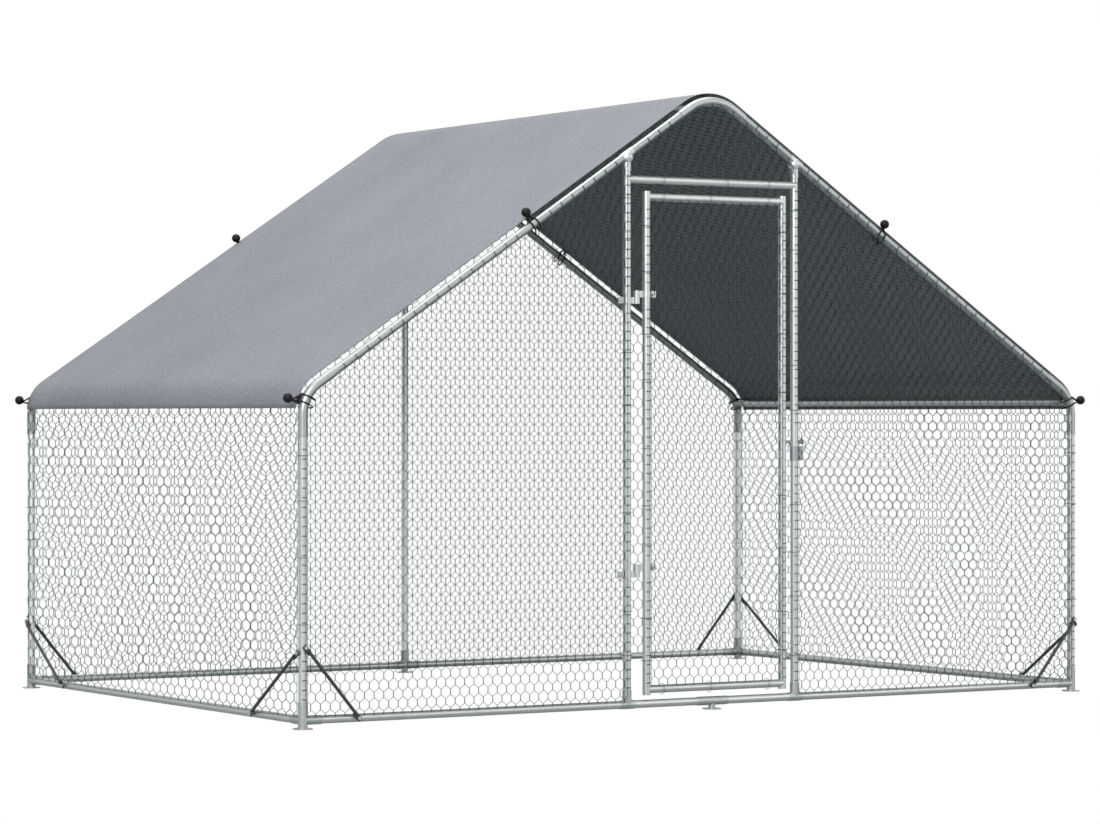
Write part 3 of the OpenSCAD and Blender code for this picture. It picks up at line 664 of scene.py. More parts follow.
@dataclass(frozen=True)
class Weave:
    """The netting's cell in metres.

    Attributes:
        pitch: width of a cell.
        row: height of a row of cells.
        twist: length of the twisted sides.
        wire_r: radius of the wire.
        edge_r: radius of the wire along a net's edges.
        turns: how far a twisted side turns, in radians.
        pair: width and height of a twisted side's section, in wire radii.
        overrun: how far outside an outline a cell may start, in rows.
        spare: columns and rows of cells to spare when an outline is filled.
        anchor: a point of the net's plane on which a cell starts.
    """

    pitch: float = 0.033
    row: float = 0.0285
    twist: float = 0.0165
    wire_r: float = 0.00095
    edge_r: float = 0.0007
    turns: float = 3 * math.pi
    pair: Point = (2.6, 1.8)
    overrun: float = 0.8
    spare: tuple[int, int] = (4, 6)
    anchor: Point = (0.0, 0.0)

    def corner(self, low: Point) -> Point:
        """Finds the cell from which a net is filled.

        Args:
            low: the lowest corner of the net's outline.

        Returns:
            Where that cell starts.
        """
        column = math.floor((low[0] - self.anchor[0]) / self.pitch) - 1
        pair = math.floor((low[1] - self.anchor[1]) / (2 * self.row)) - 1
        return self.anchor[0] + column * self.pitch, self.anchor[1] + 2 * pair * self.row

    def inputs(self, low: Point, high: Point) -> dict:
        """Works out the node tree's inputs for one net.

        Args:
            low: the lowest corner of the net's outline.
            high: its highest corner.

        Returns:
            What each input, by name, is set to.
        """
        columns = math.ceil((high[0] - low[0]) / self.pitch) + self.spare[0]
        rows = math.ceil((high[1] - low[1]) / self.row) + self.spare[1]
        width = (columns - 1) * self.pitch
        height = (rows - 1) * self.row
        corner = self.corner(low)
        return {
            "Middle": (corner[0] + width / 2, corner[1] + height / 2, 0.0),
            "Columns": columns,
            "Rows": rows,
            "Width": width,
            "Height": height,
            "Half Pitch": self.pitch / 2,
            "Row": self.row,
            "Twist": self.twist,
            "Wire Radius": self.wire_r,
            "Edge Radius": self.edge_r,
            "Pair Width": self.pair[0] * self.wire_r,
            "Pair Height": self.pair[1] * self.wire_r,
            "Turns": self.turns,
            "Reach": self.overrun * self.row,
        }

    def tree(self) -> bpy.types.NodeTree:
        """Builds the node tree that fills an outline with cells.

        Returns:
            The tree.
        """
        tree, given = new_tree("hexagonal_netting", self.inputs((0.0, 0.0), (0.0, 0.0)))
        value = given.outputs
        counts = {"Vertices X": value["Columns"], "Vertices Y": value["Rows"]}
        extent = {"Size X": value["Width"], "Size Y": value["Height"]}
        grid = add(tree, "GeometryNodeMeshGrid", {**extent, **counts})
        index = add(tree, "GeometryNodeInputIndex").outputs[0]
        number = add(tree, "ShaderNodeMath", {0: index, 1: value["Rows"]}, operation="MODULO")
        odd = add(tree, "ShaderNodeMath", {0: number.outputs[0], 1: 2.0}, operation="MODULO")
        terms = {0: odd.outputs[0], 1: value["Half Pitch"]}
        shift = add(tree, "ShaderNodeMath", terms, operation="MULTIPLY")
        aside = add(tree, "ShaderNodeCombineXYZ", {0: shift.outputs[0]})
        terms = {0: aside.outputs[0], 1: value["Middle"]}
        offset = add(tree, "ShaderNodeVectorMath", terms, operation="ADD")
        moved = {"Geometry": grid.outputs[0], "Offset": offset.outputs[0]}
        lattice = add(tree, "GeometryNodeSetPosition", moved)
        near = add(tree, "GeometryNodeProximity", {0: value["Geometry"]}, target_element="FACES")
        far = add(tree, "FunctionNodeCompare", {0: near.outputs["Distance"], 1: value["Reach"]})
        kept = add(tree, "GeometryNodeDeleteGeometry", {0: lattice.outputs[0], 1: far.outputs[0]})
        put = {"Points": kept.outputs[0], "Instance": self.cell(tree, value)}
        cells = add(tree, "GeometryNodeInstanceOnPoints", put)
        rim = add(tree, "GeometryNodeMeshToCurve", {0: value["Geometry"]})
        circle = {"Resolution": 6, "Radius": value["Edge Radius"]}
        section = add(tree, "GeometryNodeCurvePrimitiveCircle", circle)
        edge = add(tree, "GeometryNodeCurveToMesh", {0: rim.outputs[0], 1: section.outputs[0]})
        whole = add(tree, "GeometryNodeJoinGeometry", {0: [cells.outputs[0], edge.outputs[0]]})
        end_tree(tree, whole.outputs[0], value["Material"])
        return tree

    def cell(self, tree: bpy.types.NodeTree, value: bpy.types.NodeOutputs) -> bpy.types.NodeSocket:
        """Adds one cell: a twisted side and the two slanted wires above it.

        Args:
            tree: the node tree.
            value: its inputs.

        Returns:
            The cell's socket.
        """
        top = add(tree, "ShaderNodeCombineXYZ", {1: value["Twist"]}).outputs[0]
        side = add(tree, "GeometryNodeCurvePrimitiveLine", {"End": top})
        side = add(tree, "GeometryNodeResampleCurve", {"Curve": side.outputs[0], "Count": 4})
        part = add(tree, "GeometryNodeSplineParameter").outputs["Factor"]
        tilt = add(tree, "ShaderNodeMath", {0: part, 1: value["Turns"]}, operation="MULTIPLY")
        turned = {"Curve": side.outputs[0], "Tilt": tilt.outputs[0]}
        side = add(tree, "GeometryNodeSetCurveTilt", turned)
        flat = {"Width": value["Pair Width"], "Height": value["Pair Height"]}
        paths = [(side, add(tree, "GeometryNodeCurvePrimitiveQuadrilateral", flat))]
        thin = {"Resolution": 3, "Radius": value["Wire Radius"]}
        circle = add(tree, "GeometryNodeCurvePrimitiveCircle", thin)
        for sign in (-1.0, 1.0):
            terms = {0: value["Half Pitch"], 1: sign}
            across = add(tree, "ShaderNodeMath", terms, operation="MULTIPLY")
            end = add(tree, "ShaderNodeCombineXYZ", {0: across.outputs[0], 1: value["Row"]})
            ends = {"Start": top, "End": end.outputs[0]}
            paths.append((add(tree, "GeometryNodeCurvePrimitiveLine", ends), circle))
        shapes = [
            add(tree, "GeometryNodeCurveToMesh", {0: path.outputs[0], 1: section.outputs[0]}).outputs[0]
            for path, section in paths
        ]
        return add(tree, "GeometryNodeJoinGeometry", {0: shapes}).outputs[0]


def inset(outline: list[Point], distance: float) -> list[Point]:
    """Moves a convex outline inwards.

    Args:
        outline: its points, anticlockwise.
        distance: how far to move its edges.

    Returns:
        The moved points.
    """
    points = np.array(outline)
    edges = np.roll(points, -1, 0) - points
    edges /= np.linalg.norm(edges, axis=1)[:, None]
    inward = np.stack([-edges[:, 1], edges[:, 0]], axis=1)
    before = np.roll(inward, 1, 0)
    mitre = (inward + before) / (1 + (inward * before).sum(1))[:, None]
    return [tuple(point) for point in points + distance * mitre]


def box_outline(left: float, right: float, low: float, high: float) -> list[Point]:
    """The corners of a rectangle, anticlockwise from its lower left."""
    return [(left, low), (right, low), (right, high), (left, high)]


@dataclass
class NetPanel:
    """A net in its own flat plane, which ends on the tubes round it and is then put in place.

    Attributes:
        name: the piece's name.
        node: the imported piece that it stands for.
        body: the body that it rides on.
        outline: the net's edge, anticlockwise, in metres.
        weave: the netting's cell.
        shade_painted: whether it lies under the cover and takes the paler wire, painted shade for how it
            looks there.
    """

    name: str
    node: str
    body: Body
    outline: list[Point]
    weave: Weave
    shade_painted: bool = False

    def build(self, tree: bpy.types.NodeTree, finishes: Finishes) -> bpy.types.Object:
        """Builds the net.

        Args:
            tree: the node tree that fills an outline.
            finishes: the materials.

        Returns:
            The net.
        """
        points = np.array([(u, v, 0.0) for u, v in self.outline])
        # Under the cover the paler wire paints the shade in which the roof nets lie.
        wire = finishes.shade_painted_wire if self.shade_painted else finishes.by_slot[Slot.WIRE]
        piece = new_piece(self.name, points, [range(len(points))], [wire])
        inputs = self.weave.inputs(tuple(points.min(0)[:2]), tuple(points.max(0)[:2]))
        set_inputs(piece, tree, {**inputs, "Material": wire})
        mesh = plain_copy(piece)
        flat = self.trimmed(read_points(mesh))
        mesh.vertices.foreach_set("co", self.placed(flat).ravel())
        mesh.update()
        piece.data = mesh
        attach(piece, self.body.value)
        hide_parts(self.node)
        log.info("%s has %d faces", self.name, len(mesh.polygons))
        return piece

    def trimmed(self, points: np.ndarray) -> np.ndarray:
        """Draws the wires that run past an edge back to its wire.

        Args:
            points: points of the flat net.

        Returns:
            The points, none of them past an edge wire's outside.
        """
        out = points.copy()
        count = len(self.outline)
        for i in range(count):
            start = np.array(self.outline[i])
            edge = np.array(self.outline[(i + 1) % count]) - start
            away = np.array([edge[1], -edge[0]]) / np.linalg.norm(edge)
            past = np.maximum((out[:, :2] - start) @ away - self.weave.edge_r, 0)
            out[:, :2] -= np.outer(past, away)
        return out

    def placed(self, points: np.ndarray) -> np.ndarray:
        """Moves points of the net's plane to the row frame."""
        raise NotImplementedError


@dataclass
class WallNet(NetPanel):
    """A net in an upright wall.

    Attributes:
        origin: where the plane's origin lies.
        right: the direction of the plane's first axis.
        outward: the direction that the plane faces.
        bend_from: height from which the net follows a bend.
        bend_r: radius of that bend, or 0 for none.
    """

    origin: Place = (0.0, 0.0, 0.0)
    right: Place = (1.0, 0.0, 0.0)
    outward: Place = (0.0, -1.0, 0.0)
    bend_from: float = 0.0
    bend_r: float = 0.0

    def placed(self, points: np.ndarray) -> np.ndarray:
        """Moves points of the net's plane to the row frame.

        Args:
            points: points of the net's plane.

        Returns:
            The points in the row frame.
        """
        axes = np.array([self.right, (0.0, 0.0, 1.0), self.outward])
        flat = points.copy()
        if self.bend_r:
            up = np.clip(flat[:, 1] - self.bend_from, 0, self.bend_r)
            flat[:, 2] -= self.bend_r - np.sqrt(self.bend_r**2 - up**2)
        return np.array(self.origin) + flat @ axes


@dataclass
class RoofNet(NetPanel):
    """A net that follows half of the roof's section.

    Attributes:
        line: the roof's section.
    """

    line: RoofLine | None = None

    def placed(self, points: np.ndarray) -> np.ndarray:
        """Moves points of the unrolled net to the row frame."""
        x, z = self.line.place(points[:, 0], points[:, 2])
        return np.stack([x, points[:, 1], z], axis=1)


@dataclass
class Netting:
    """All the nets of the run.

    Attributes:
        sizes: the frame's main lines.
        finishes: the materials.
        weave: the cell of the front and the roof.
        door_weave: the same cell, set between the stiles.
        back_weave: the cell of the back.
        side_weave: the cell of the two sides.
        stand_off: distance of the wall nets from the tubes' axes.
        edge_in: how far inside the tubes' axes the wall nets end.
        roof_lift: height of the roof nets above the rafters' axes.
        roof_edge_in: how far inside the cover's gable edges the roof nets end.
        roof_low_in: how far inside the cover's lower edges the roof nets end.
    """

    sizes: RunSizes
    finishes: Finishes
    weave: Weave = Weave(anchor=(0.00825, 0.0))
    door_weave: Weave = Weave(anchor=(0.00425, 0.0))
    back_weave: Weave = Weave(0.0398, 0.0344, 0.0199, 0.00114, anchor=(-1.37346, -0.1683))
    side_weave: Weave = Weave(pitch=0.052, wire_r=0.00116)
    stand_off: float = 0.0150
    edge_in: float = 0.0085
    roof_lift: float = 0.0227
    roof_edge_in: float = 0.004
    roof_low_in: float = 0.012

    def panels(self) -> list[NetPanel]:
        """Lays out the nets.

        Returns:
            The nets, not yet built.
        """
        s = self.sizes
        depth = s.half_d + self.stand_off
        width = s.half_w + self.stand_off
        bend = {"bend_from": s.bend_z, "bend_r": s.eave_bend_r + self.stand_off}
        front = {"origin": (0.0, -depth, 0.0)}
        back = {"origin": (0.0, depth, 0.0), "right": (-1.0, 0.0, 0.0), "outward": (0.0, 1.0, 0.0)}
        left, right = (
            {"origin": (sx * width, 0.0, 0.0), "right": (0.0, sx, 0.0), "outward": (sx, 0.0, 0.0), **bend}
            for sx in (-1.0, 1.0)
        )
        post, post_top = s.door_post_x, s.slope_z(s.door_post_x)
        arc = s.eave_arc()
        half = [(-s.half_w, s.rail_z), (-post, s.rail_z), (-post, post_top), *arc]
        other = [(-x, z) for x, z in reversed(half)]
        top = [(-post, s.header_z), (post, s.header_z), (post, post_top), *s.ridge_arc(), (-post, post_top)]
        far_arc = [(-x, z) for x, z in reversed(arc)]
        gable = [(-s.half_w, s.rail_z), (s.half_w, s.rail_z), *far_arc, *s.ridge_arc(), *arc]
        wall = box_outline(-s.half_d, s.half_d, s.rail_z, s.eave_z)
        door = box_outline(s.hinge_stile_x, s.latch_stile_x, s.door_bottom_z, s.door_top_z)
        nets: list[NetPanel] = [
            WallNet(f"{place}_netting", f"{place}_net", body, inset(outline, self.edge_in), weave, **plane)
            for place, body, outline, weave, plane in (
                ("front_left", Body.FRAME, half, self.weave, front),
                ("front_right", Body.FRAME, other, self.weave, front),
                ("front_top", Body.FRAME, top, self.weave, front),
                ("back", Body.FRAME, gable, self.back_weave, back),
                ("left", Body.FRAME, wall, self.side_weave, left),
                ("right", Body.FRAME, wall, self.side_weave, right),
                ("door", Body.DOOR, door, self.door_weave, front),
            )
        ]
        line = RoofLine(s, self.roof_lift)
        edge = s.cover_y - self.roof_edge_in
        low = self.roof_low_in
        for name, begin, end in (("left", low, line.half), ("right", line.half, 2 * line.half - low)):
            place = f"{name}_roof"
            given = (f"{place}_netting", f"{place}_net", Body.FRAME)
            outline = box_outline(begin, end, -edge, edge)
            nets.append(RoofNet(*given, outline, self.weave, shade_painted=True, line=line))
        return nets

    def build(self) -> None:
        """Builds every net."""
        tree = self.weave.tree()
        for panel in self.panels():
            panel.build(tree, self.finishes)


# Wires round the tubes

Stretch = tuple[Vector, Vector]


def upright(x: float, y: float, low: float, high: float) -> Stretch:
    """A stretch of upright tube: its lower end and the way to its upper end."""
    return Vector((x, y, low)), Vector((0, 0, high - low))


@dataclass(frozen=True)
class Zone:
    """A stretch of tube that something is fitted to.

    Attributes:
        x: place of its middle.
        half: half its width.
        low: height of its lower end.
        high: height of its upper end.
        mirrored: whether there is another one on the other side.
    """

    x: float
    half: float
    low: float
    high: float = math.inf
    mirrored: bool = True

    def holds(self, point: Vector) -> bool:
        """Tells whether a point on a tube's axis lies in the zone."""
        x = abs(point.x) if self.mirrored else point.x
        return abs(x - self.x) < self.half and self.low < point.z < self.high


@dataclass(frozen=True)
class Fittings:
    """What is fitted to the tubes, so that wire keeps clear of it.

    Attributes:
        sizes: the frame's main lines.
        strap_h: height of a hinge strap.
        rod_room: room for the latch rod above its clamp.
        brace_room: room that a brace's upper end takes up and down.
        bungee_half: half the width of a bungee's loop.
        half_w: half the width over which a hinge or the latch is felt.
        gap: how far wire stays from a fitting.
    """

    sizes: RunSizes
    strap_h: float = 0.045
    rod_room: float = 0.038
    brace_room: float = 0.045
    bungee_half: float = 0.0165
    half_w: float = 0.08
    gap: float = 0.012

    def zones(self) -> list[Zone]:
        """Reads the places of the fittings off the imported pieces.

        Returns:
            The stretches of tube that they take up.
        """
        s, gap = self.sizes, self.gap
        strap_low, strap_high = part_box("hinge_post_straps")
        clamp_low, clamp_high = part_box("latch_clamp")
        bracket_low, bracket_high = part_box("door_post_brackets")
        brace_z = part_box("front_left_braces")[1].z
        strap_x = (strap_low.x + strap_high.x) / 2
        straps = [
            Zone(strap_x, self.half_w, z - gap, z + self.strap_h + gap, False)
            for z in (strap_low.z, strap_high.z - self.strap_h)
        ]
        clamp_x = (clamp_low.x + clamp_high.x) / 2
        rod_top = clamp_high.z + self.rod_room
        bungee_x = s.rafter_x - BallBungees.slope_run * math.cos(s.pitch)
        return [
            *straps,
            Zone(clamp_x, self.half_w, clamp_low.z - gap, rod_top + gap, False),
            Zone(s.half_w, s.tube_r, brace_z - self.brace_room, brace_z + gap),
            Zone(s.door_post_x, bracket_high.x - s.door_post_x + gap, bracket_low.z),
            Zone(bungee_x, self.bungee_half + gap, 0.0),
        ]


@dataclass
class TubeWires:
    """Wires of one shape, each put round a tube.

    Attributes:
        sizes: the frame's main lines.
        finishes: the materials.
        zones: stretches of tube that the wires keep clear of.
    """

    sizes: RunSizes
    finishes: Finishes
    zones: list[Zone]

    def inputs(self) -> dict:
        """The node tree's inputs, by name."""
        raise NotImplementedError

    def clear(self, point: Vector) -> bool:
        """Tells whether a wire at a point on a tube's axis would miss the fittings."""
        return not any(zone.holds(point) for zone in self.zones)

    def wind(
        self,
        tree: bpy.types.NodeTree,
        value: bpy.types.NodeOutputs,
        curve: bpy.types.Node,
        turn: bpy.types.Node,
    ) -> None:
        """Ends a node tree with a wire along a curve, put on every point.

        Args:
            tree: the node tree.
            value: its inputs.
            curve: the node that makes the curve.
            turn: the node that turns the wire at each point.
        """
        circle = {"Resolution": 4, "Radius": value["Wire Radius"]}
        section = add(tree, "GeometryNodeCurvePrimitiveCircle", circle)
        shape = add(tree, "GeometryNodeCurveToMesh", {0: curve.outputs[0], 1: section.outputs[0]})
        put = {"Points": value["Geometry"], "Instance": shape.outputs[0], "Rotation": turn.outputs[0]}
        wires = add(tree, "GeometryNodeInstanceOnPoints", put)
        end_tree(tree, wires.outputs[0], value["Material"])

    def lay(
        self, name: str, body: Body, tree: bpy.types.NodeTree, mark: str, spots: list, marks: list
    ) -> None:
        """Makes the wires of one body.

        Args:
            name: the piece's name.
            body: the body that it rides on.
            tree: the node tree that makes a wire on every point.
            mark: the name of the vector that the tree reads at a point.
            spots: the points.
            marks: that vector at each point.
        """
        wire = self.finishes.by_slot[Slot.WIRE]
        piece = new_piece(name, np.array(spots), [], [wire])
        given = piece.data.attributes.new(mark, "FLOAT_VECTOR", "POINT")
        given.data.foreach_set("vector", np.array(marks).ravel())
        set_inputs(piece, tree, {**self.inputs(), "Material": wire})
        piece.data = plain_copy(piece)
        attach(piece, body.value)
        log.info("%s has %d wires", name, len(spots))


@dataclass
class TieWires(TubeWires):
    """Rings of wire that lash the nets to the tubes.

    Attributes:
        ring_r: radius of a ring.
        wire_r: radius of its wire.
        spacing: distance between rings along a tube.
        jitter: how far a ring may shift, as a share of that distance.
        post_ends: how far the corner posts' rings stay from the ground and from the eave bends.
        door_ends: how far the door posts' rings stay from the ground and from the header.
        stile_in: how far the stiles' rings stay from the door's rails.
        header_xs: places of the rings along the header.
        rail_xs: places of the rings along the door's rails.
        seed: start of the fixed random numbers that shift them.
    """

    ring_r: float = 0.0174
    wire_r: float = 0.0008
    spacing: float = 0.165
    jitter: float = 0.22
    post_ends: Point = (0.30, 0.10)
    door_ends: Point = (0.16, 0.06)
    stile_in: float = 0.09
    header_xs: tuple[float, ...] = (-0.189, 0.054, 0.213)
    rail_xs: tuple[float, ...] = (-0.189, -0.011, 0.212)
    seed: int = 7

    def inputs(self) -> dict:
        """The node tree's inputs, by name."""
        return {"Ring Radius": self.ring_r, "Wire Radius": self.wire_r}

    def tree(self) -> bpy.types.NodeTree:
        """Builds the node tree that puts a ring on every point, square to the point's axis.

        Returns:
            The tree.
        """
        tree, given = new_tree("tie_wires", self.inputs())
        value = given.outputs
        axis = add(tree, "GeometryNodeInputNamedAttribute", {"Name": "axis"}, data_type="FLOAT_VECTOR")
        turn = add(tree, "FunctionNodeAlignRotationToVector", {"Vector": axis.outputs[0]}, axis="Z")
        circle = {"Resolution": 16, "Radius": value["Ring Radius"]}
        self.wind(tree, value, add(tree, "GeometryNodeCurvePrimitiveCircle", circle), turn)
        return tree

    def lines(self) -> dict[Body, list[Stretch]]:
        """The stretches of tube that carry ties, by body.

        Returns:
            The stretches of each body.
        """
        s = self.sizes
        y = -s.half_d
        posts = []
        for sx in (-1, 1):
            for sy in (-1, 1):
                corner = (sx * s.half_w, sy * s.half_d)
                posts.append(upright(*corner, self.post_ends[0], s.bend_z - self.post_ends[1]))
            post = (sx * s.door_post_x, y)
            posts.append(upright(*post, self.door_ends[0], s.header_z - self.door_ends[1]))
        stiles = [
            upright(x, y, s.door_bottom_z + self.stile_in, s.door_top_z - self.stile_in)
            for x in (s.hinge_stile_x, s.latch_stile_x)
        ]
        return {Body.FRAME: posts, Body.DOOR: stiles}

    def bar_points(self) -> dict[Body, list[Vector]]:
        """The ties on the header and on the door's rails, by body.

        Returns:
            The middles of the rings.
        """
        s = self.sizes
        y = -s.half_d
        header = [Vector((x, y, s.header_z)) for x in self.header_xs]
        rails = [Vector((x, y, z)) for x in self.rail_xs for z in (s.door_bottom_z, s.door_top_z)]
        return {Body.FRAME: header, Body.DOOR: rails}

    def build(self) -> None:
        """Builds the rings of each body."""
        tree = self.tree()
        chance = np.random.default_rng(self.seed)
        for body, lines in self.lines().items():
            spots = self.bar_points()[body]
            axes = [Vector((1, 0, 0))] * len(spots)
            for start, way in lines:
                count = max(2, round(way.length / self.spacing))
                for i in range(count + 1):
                    shifted = i + chance.uniform(-self.jitter, self.jitter)
                    point = start + way * min(max(shifted / count, 0.0), 1.0)
                    if self.clear(point):
                        spots.append(point)
                        axes.append(way.normalized())
            self.lay(f"{body.value}_tie_wires", body, tree, "axis", spots, axes)


class Facing(Enum):
    """The side of a tube that faces out of a gable, as an angle from the X axis."""

    BACK = math.pi / 2
    FRONT = -math.pi / 2


@dataclass
class WireEnds(TubeWires):
    """The ends of the nets' wires, each wound part of the way round a tube.

    Attributes:
        rise: distance between two ends along an upright tube.
        rafter_step: distance between two ends along a rafter.
        wire_r: radius of the wire.
        slack: gap between the wire and the tube.
        sweep: how far an end goes round, in radians.
        tilt: how far an end may slope, in radians.
        margin: how far the ends stay from a connector.
        seed: start of the fixed random numbers that slope them.
    """

    rise: float = Weave.row
    rafter_step: float = 0.048
    wire_r: float = 0.0013
    slack: float = 0.0003
    sweep: float = math.radians(70)
    tilt: float = 0.12
    margin: float = 0.008
    seed: int = 11

    def inputs(self) -> dict:
        """The node tree's inputs, by name.

        Returns:
            What each input is set to.
        """
        bend_r = self.sizes.tube_r + self.slack + self.wire_r
        arc = {"Start": -self.sweep / 2, "Sweep": self.sweep}
        return {"Bend Radius": bend_r, "Wire Radius": self.wire_r, **arc}

    def tree(self) -> bpy.types.NodeTree:
        """Builds the node tree that winds a short piece of wire at every point.

        Returns:
            The tree.
        """
        tree, given = new_tree("wire_ends", self.inputs())
        value = given.outputs
        turn = add(tree, "GeometryNodeInputNamedAttribute", {"Name": "turn"}, data_type="FLOAT_VECTOR")
        turned = add(tree, "FunctionNodeEulerToRotation", {0: turn.outputs[0]})
        angles = {"Start Angle": value["Start"], "Sweep Angle": value["Sweep"]}
        arc = {"Resolution": 6, "Radius": value["Bend Radius"], **angles}
        self.wind(tree, value, add(tree, "GeometryNodeCurveArc", arc), turned)
        return tree

    def tubes(self) -> dict[Body, list[tuple[Stretch, Facing]]]:
        """The stretches of tube on which a net ends, by body.

        Returns:
            The stretches of each body and their facings.
        """
        s = self.sizes
        found: dict[Body, list[tuple[Stretch, Facing]]] = {Body.FRAME: [], Body.DOOR: []}
        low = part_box("front_left_foot")[1].z + self.margin
        joint_low, joint_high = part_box("front_left_eave_joint")
        high = joint_low.z - self.margin
        rafter_low = joint_high.z + self.margin
        rafter_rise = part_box("front_ridge_joint")[0].z - self.margin - rafter_low
        rafter_run = rafter_rise / math.tan(s.pitch)
        rafter_x = (s.apex_z - rafter_low) / math.tan(s.pitch)
        for sy, facing in ((-1, Facing.FRONT), (1, Facing.BACK)):
            for sx in (-1, 1):
                found[Body.FRAME].append((upright(sx * s.half_w, sy * s.half_d, low, high), facing))
                eave = Vector((sx * rafter_x, sy * s.half_d, rafter_low))
                rafter = (eave, Vector((-sx * rafter_run, 0, rafter_rise)))
                found[Body.FRAME].append((rafter, facing))
        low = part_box("door_post_tees")[1].z + self.margin
        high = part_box("door_post_brackets")[0].z - self.margin
        for x in (-s.door_post_x, s.door_post_x):
            found[Body.FRAME].append((upright(x, -s.half_d, low, high), Facing.FRONT))
        low = s.door_bottom_z + s.tube_r + self.margin
        high = s.door_top_z - s.tube_r - self.margin
        for x in (s.hinge_stile_x, s.latch_stile_x):
            found[Body.DOOR].append((upright(x, -s.half_d, low, high), Facing.FRONT))
        return found

    def build(self) -> None:
        """Builds the wire ends of each body."""
        tree = self.tree()
        chance = np.random.default_rng(self.seed)
        for body, stretches in self.tubes().items():
            spots, turns = [], []
            for (low, way), facing in stretches:
                lean = math.atan2(way.x * math.sin(facing.value), way.z)
                step = self.rafter_step if lean else self.rise
                for i in range(int(way.length / step) + 1):
                    point = low + way.normalized() * i * step
                    slope = chance.uniform(-self.tilt, self.tilt)
                    if self.clear(point):
                        spots.append(point)
                        turns.append((lean + slope, 0.0, facing.value))
            self.lay(f"{body.value}_wire_ends", body, tree, "turn", spots, turns)


# Cover


@dataclass
class RoofCover:
    """The cloth over the roof.

    Attributes:
        sizes: the frame's main lines.
        finishes: the materials.
        lift: height of its underside above the tubes' axes.
        thick: its thickness.
        ripple: height of its waves along the lower edges.
        ripple_reach: how far up the roof those waves fade.
        ripple_rates: how close the two waves of the ripple are, in radians a metre.
        ripple_starts: where those two waves start, in radians.
        billow: height of its broad waves.
        billow_rates: how close the broad waves are, across and along the run.
        steps: how many steps it has across and along the run.
    """

    sizes: RunSizes
    finishes: Finishes
    lift: float = 0.0250
    thick: float = 0.0012
    ripple: float = 0.0015
    ripple_reach: float = 0.12
    ripple_rates: Point = (9.0, 4.1)
    ripple_starts: Point = (1.3, 0.4)
    billow: float = 0.0006
    billow_rates: Point = (7.0, 5.0)
    steps: tuple[int, int] = (240, 110)

    def build(self) -> bpy.types.Object:
        """Builds the cover.

        Returns:
            The cover.
        """
        s = self.sizes
        line = RoofLine(s, self.lift)
        across, along = self.steps
        run = np.linspace(0, 2 * line.half, across + 1)
        depth = np.linspace(-s.cover_y, s.cover_y, along + 1)
        grid_run, grid_y = np.meshgrid(run, depth, indexing="ij")
        near_edge = np.exp(-np.minimum(grid_run, 2 * line.half - grid_run) / self.ripple_reach)
        short, long = (
            np.sin(grid_y * rate + start) for rate, start in zip(self.ripple_rates, self.ripple_starts)
        )
        rise = self.ripple * near_edge * (0.5 + 0.5 * short * long)
        broad = np.sin(grid_run * self.billow_rates[0]) * np.cos(grid_y * self.billow_rates[1])
        rise += self.billow * (0.5 + 0.5 * broad)
        layers = []
        for extra in (self.thick, 0.0):
            x, z = line.place(grid_run, rise + extra)
            layers.append(np.stack([x, grid_y, z], axis=2).reshape(-1, 3))
        faces, picks = self.faces()
        piece = new_piece(
            "roof_cover_cloth",
            np.concatenate(layers),
            faces,
            [self.finishes.by_slot[Slot.COVER], self.finishes.underside],
            picks,
        )
        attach(piece, Body.FRAME.value)
        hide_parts("roof_cover")
        log.info("the cover is cut to %.3f by %.3f m", 2 * line.half, 2 * s.cover_y)
        return piece

    def faces(self) -> tuple[list, np.ndarray]:
        """Joins the grid's points into the cover's upper face, lower face and edges.

        Returns:
            The faces, and the material that each takes.
        """
        across, along = self.steps
        row = along + 1
        under = (across + 1) * row
        faces, picks = [], []
        for i in range(across):
            for j in range(along):
                a = i * row + j
                b = a + row
                upper = (a, b, b + 1, a + 1)
                faces += [upper, tuple(corner + under for corner in reversed(upper))]
                picks += [0, 1]
        rim = [i * row for i in range(across + 1)]
        rim += [across * row + j for j in range(1, row)]
        rim += [i * row + along for i in range(across - 1, -1, -1)]
        rim += [j for j in range(along - 1, 0, -1)]
        for a, b in zip(rim, rim[1:] + rim[:1]):
            faces.append((b, a, a + under, b + under))
            picks.append(1)
        return faces, np.array(picks)


# Ball bungees


def sweep(
    path: np.ndarray, r: float, sides: int, aside: Place = (0.31, 0.87, 0.38)
) -> tuple[np.ndarray, list]:
    """Sweeps a round section along a path.

    Args:
        path: the path's points.
        r: the section's radius.
        sides: how many sides the section has.
        aside: a direction in which the path doesn't start.

    Returns:
        The points and faces.
    """
    ahead = np.gradient(path, axis=0)
    ahead /= np.linalg.norm(ahead, axis=1)[:, None]
    side = np.cross(ahead[0], aside)
    rings = []
    for point, way in zip(path, ahead):
        side = side - way * (side @ way)
        side /= np.linalg.norm(side)
        up = np.cross(way, side)
        angles = np.linspace(0, 2 * math.pi, sides, endpoint=False)
        rings.append(point + r * (np.outer(np.cos(angles), side) + np.outer(np.sin(angles), up)))
    faces = []
    for i in range(len(path) - 1):
        for j in range(sides):
            k = (j + 1) % sides
            faces.append((i * sides + j, i * sides + k, (i + 1) * sides + k, (i + 1) * sides + j))
    faces.append(tuple(range(sides - 1, -1, -1)))
    faces.append(tuple((len(path) - 1) * sides + j for j in range(sides)))
    return np.concatenate(rings), faces


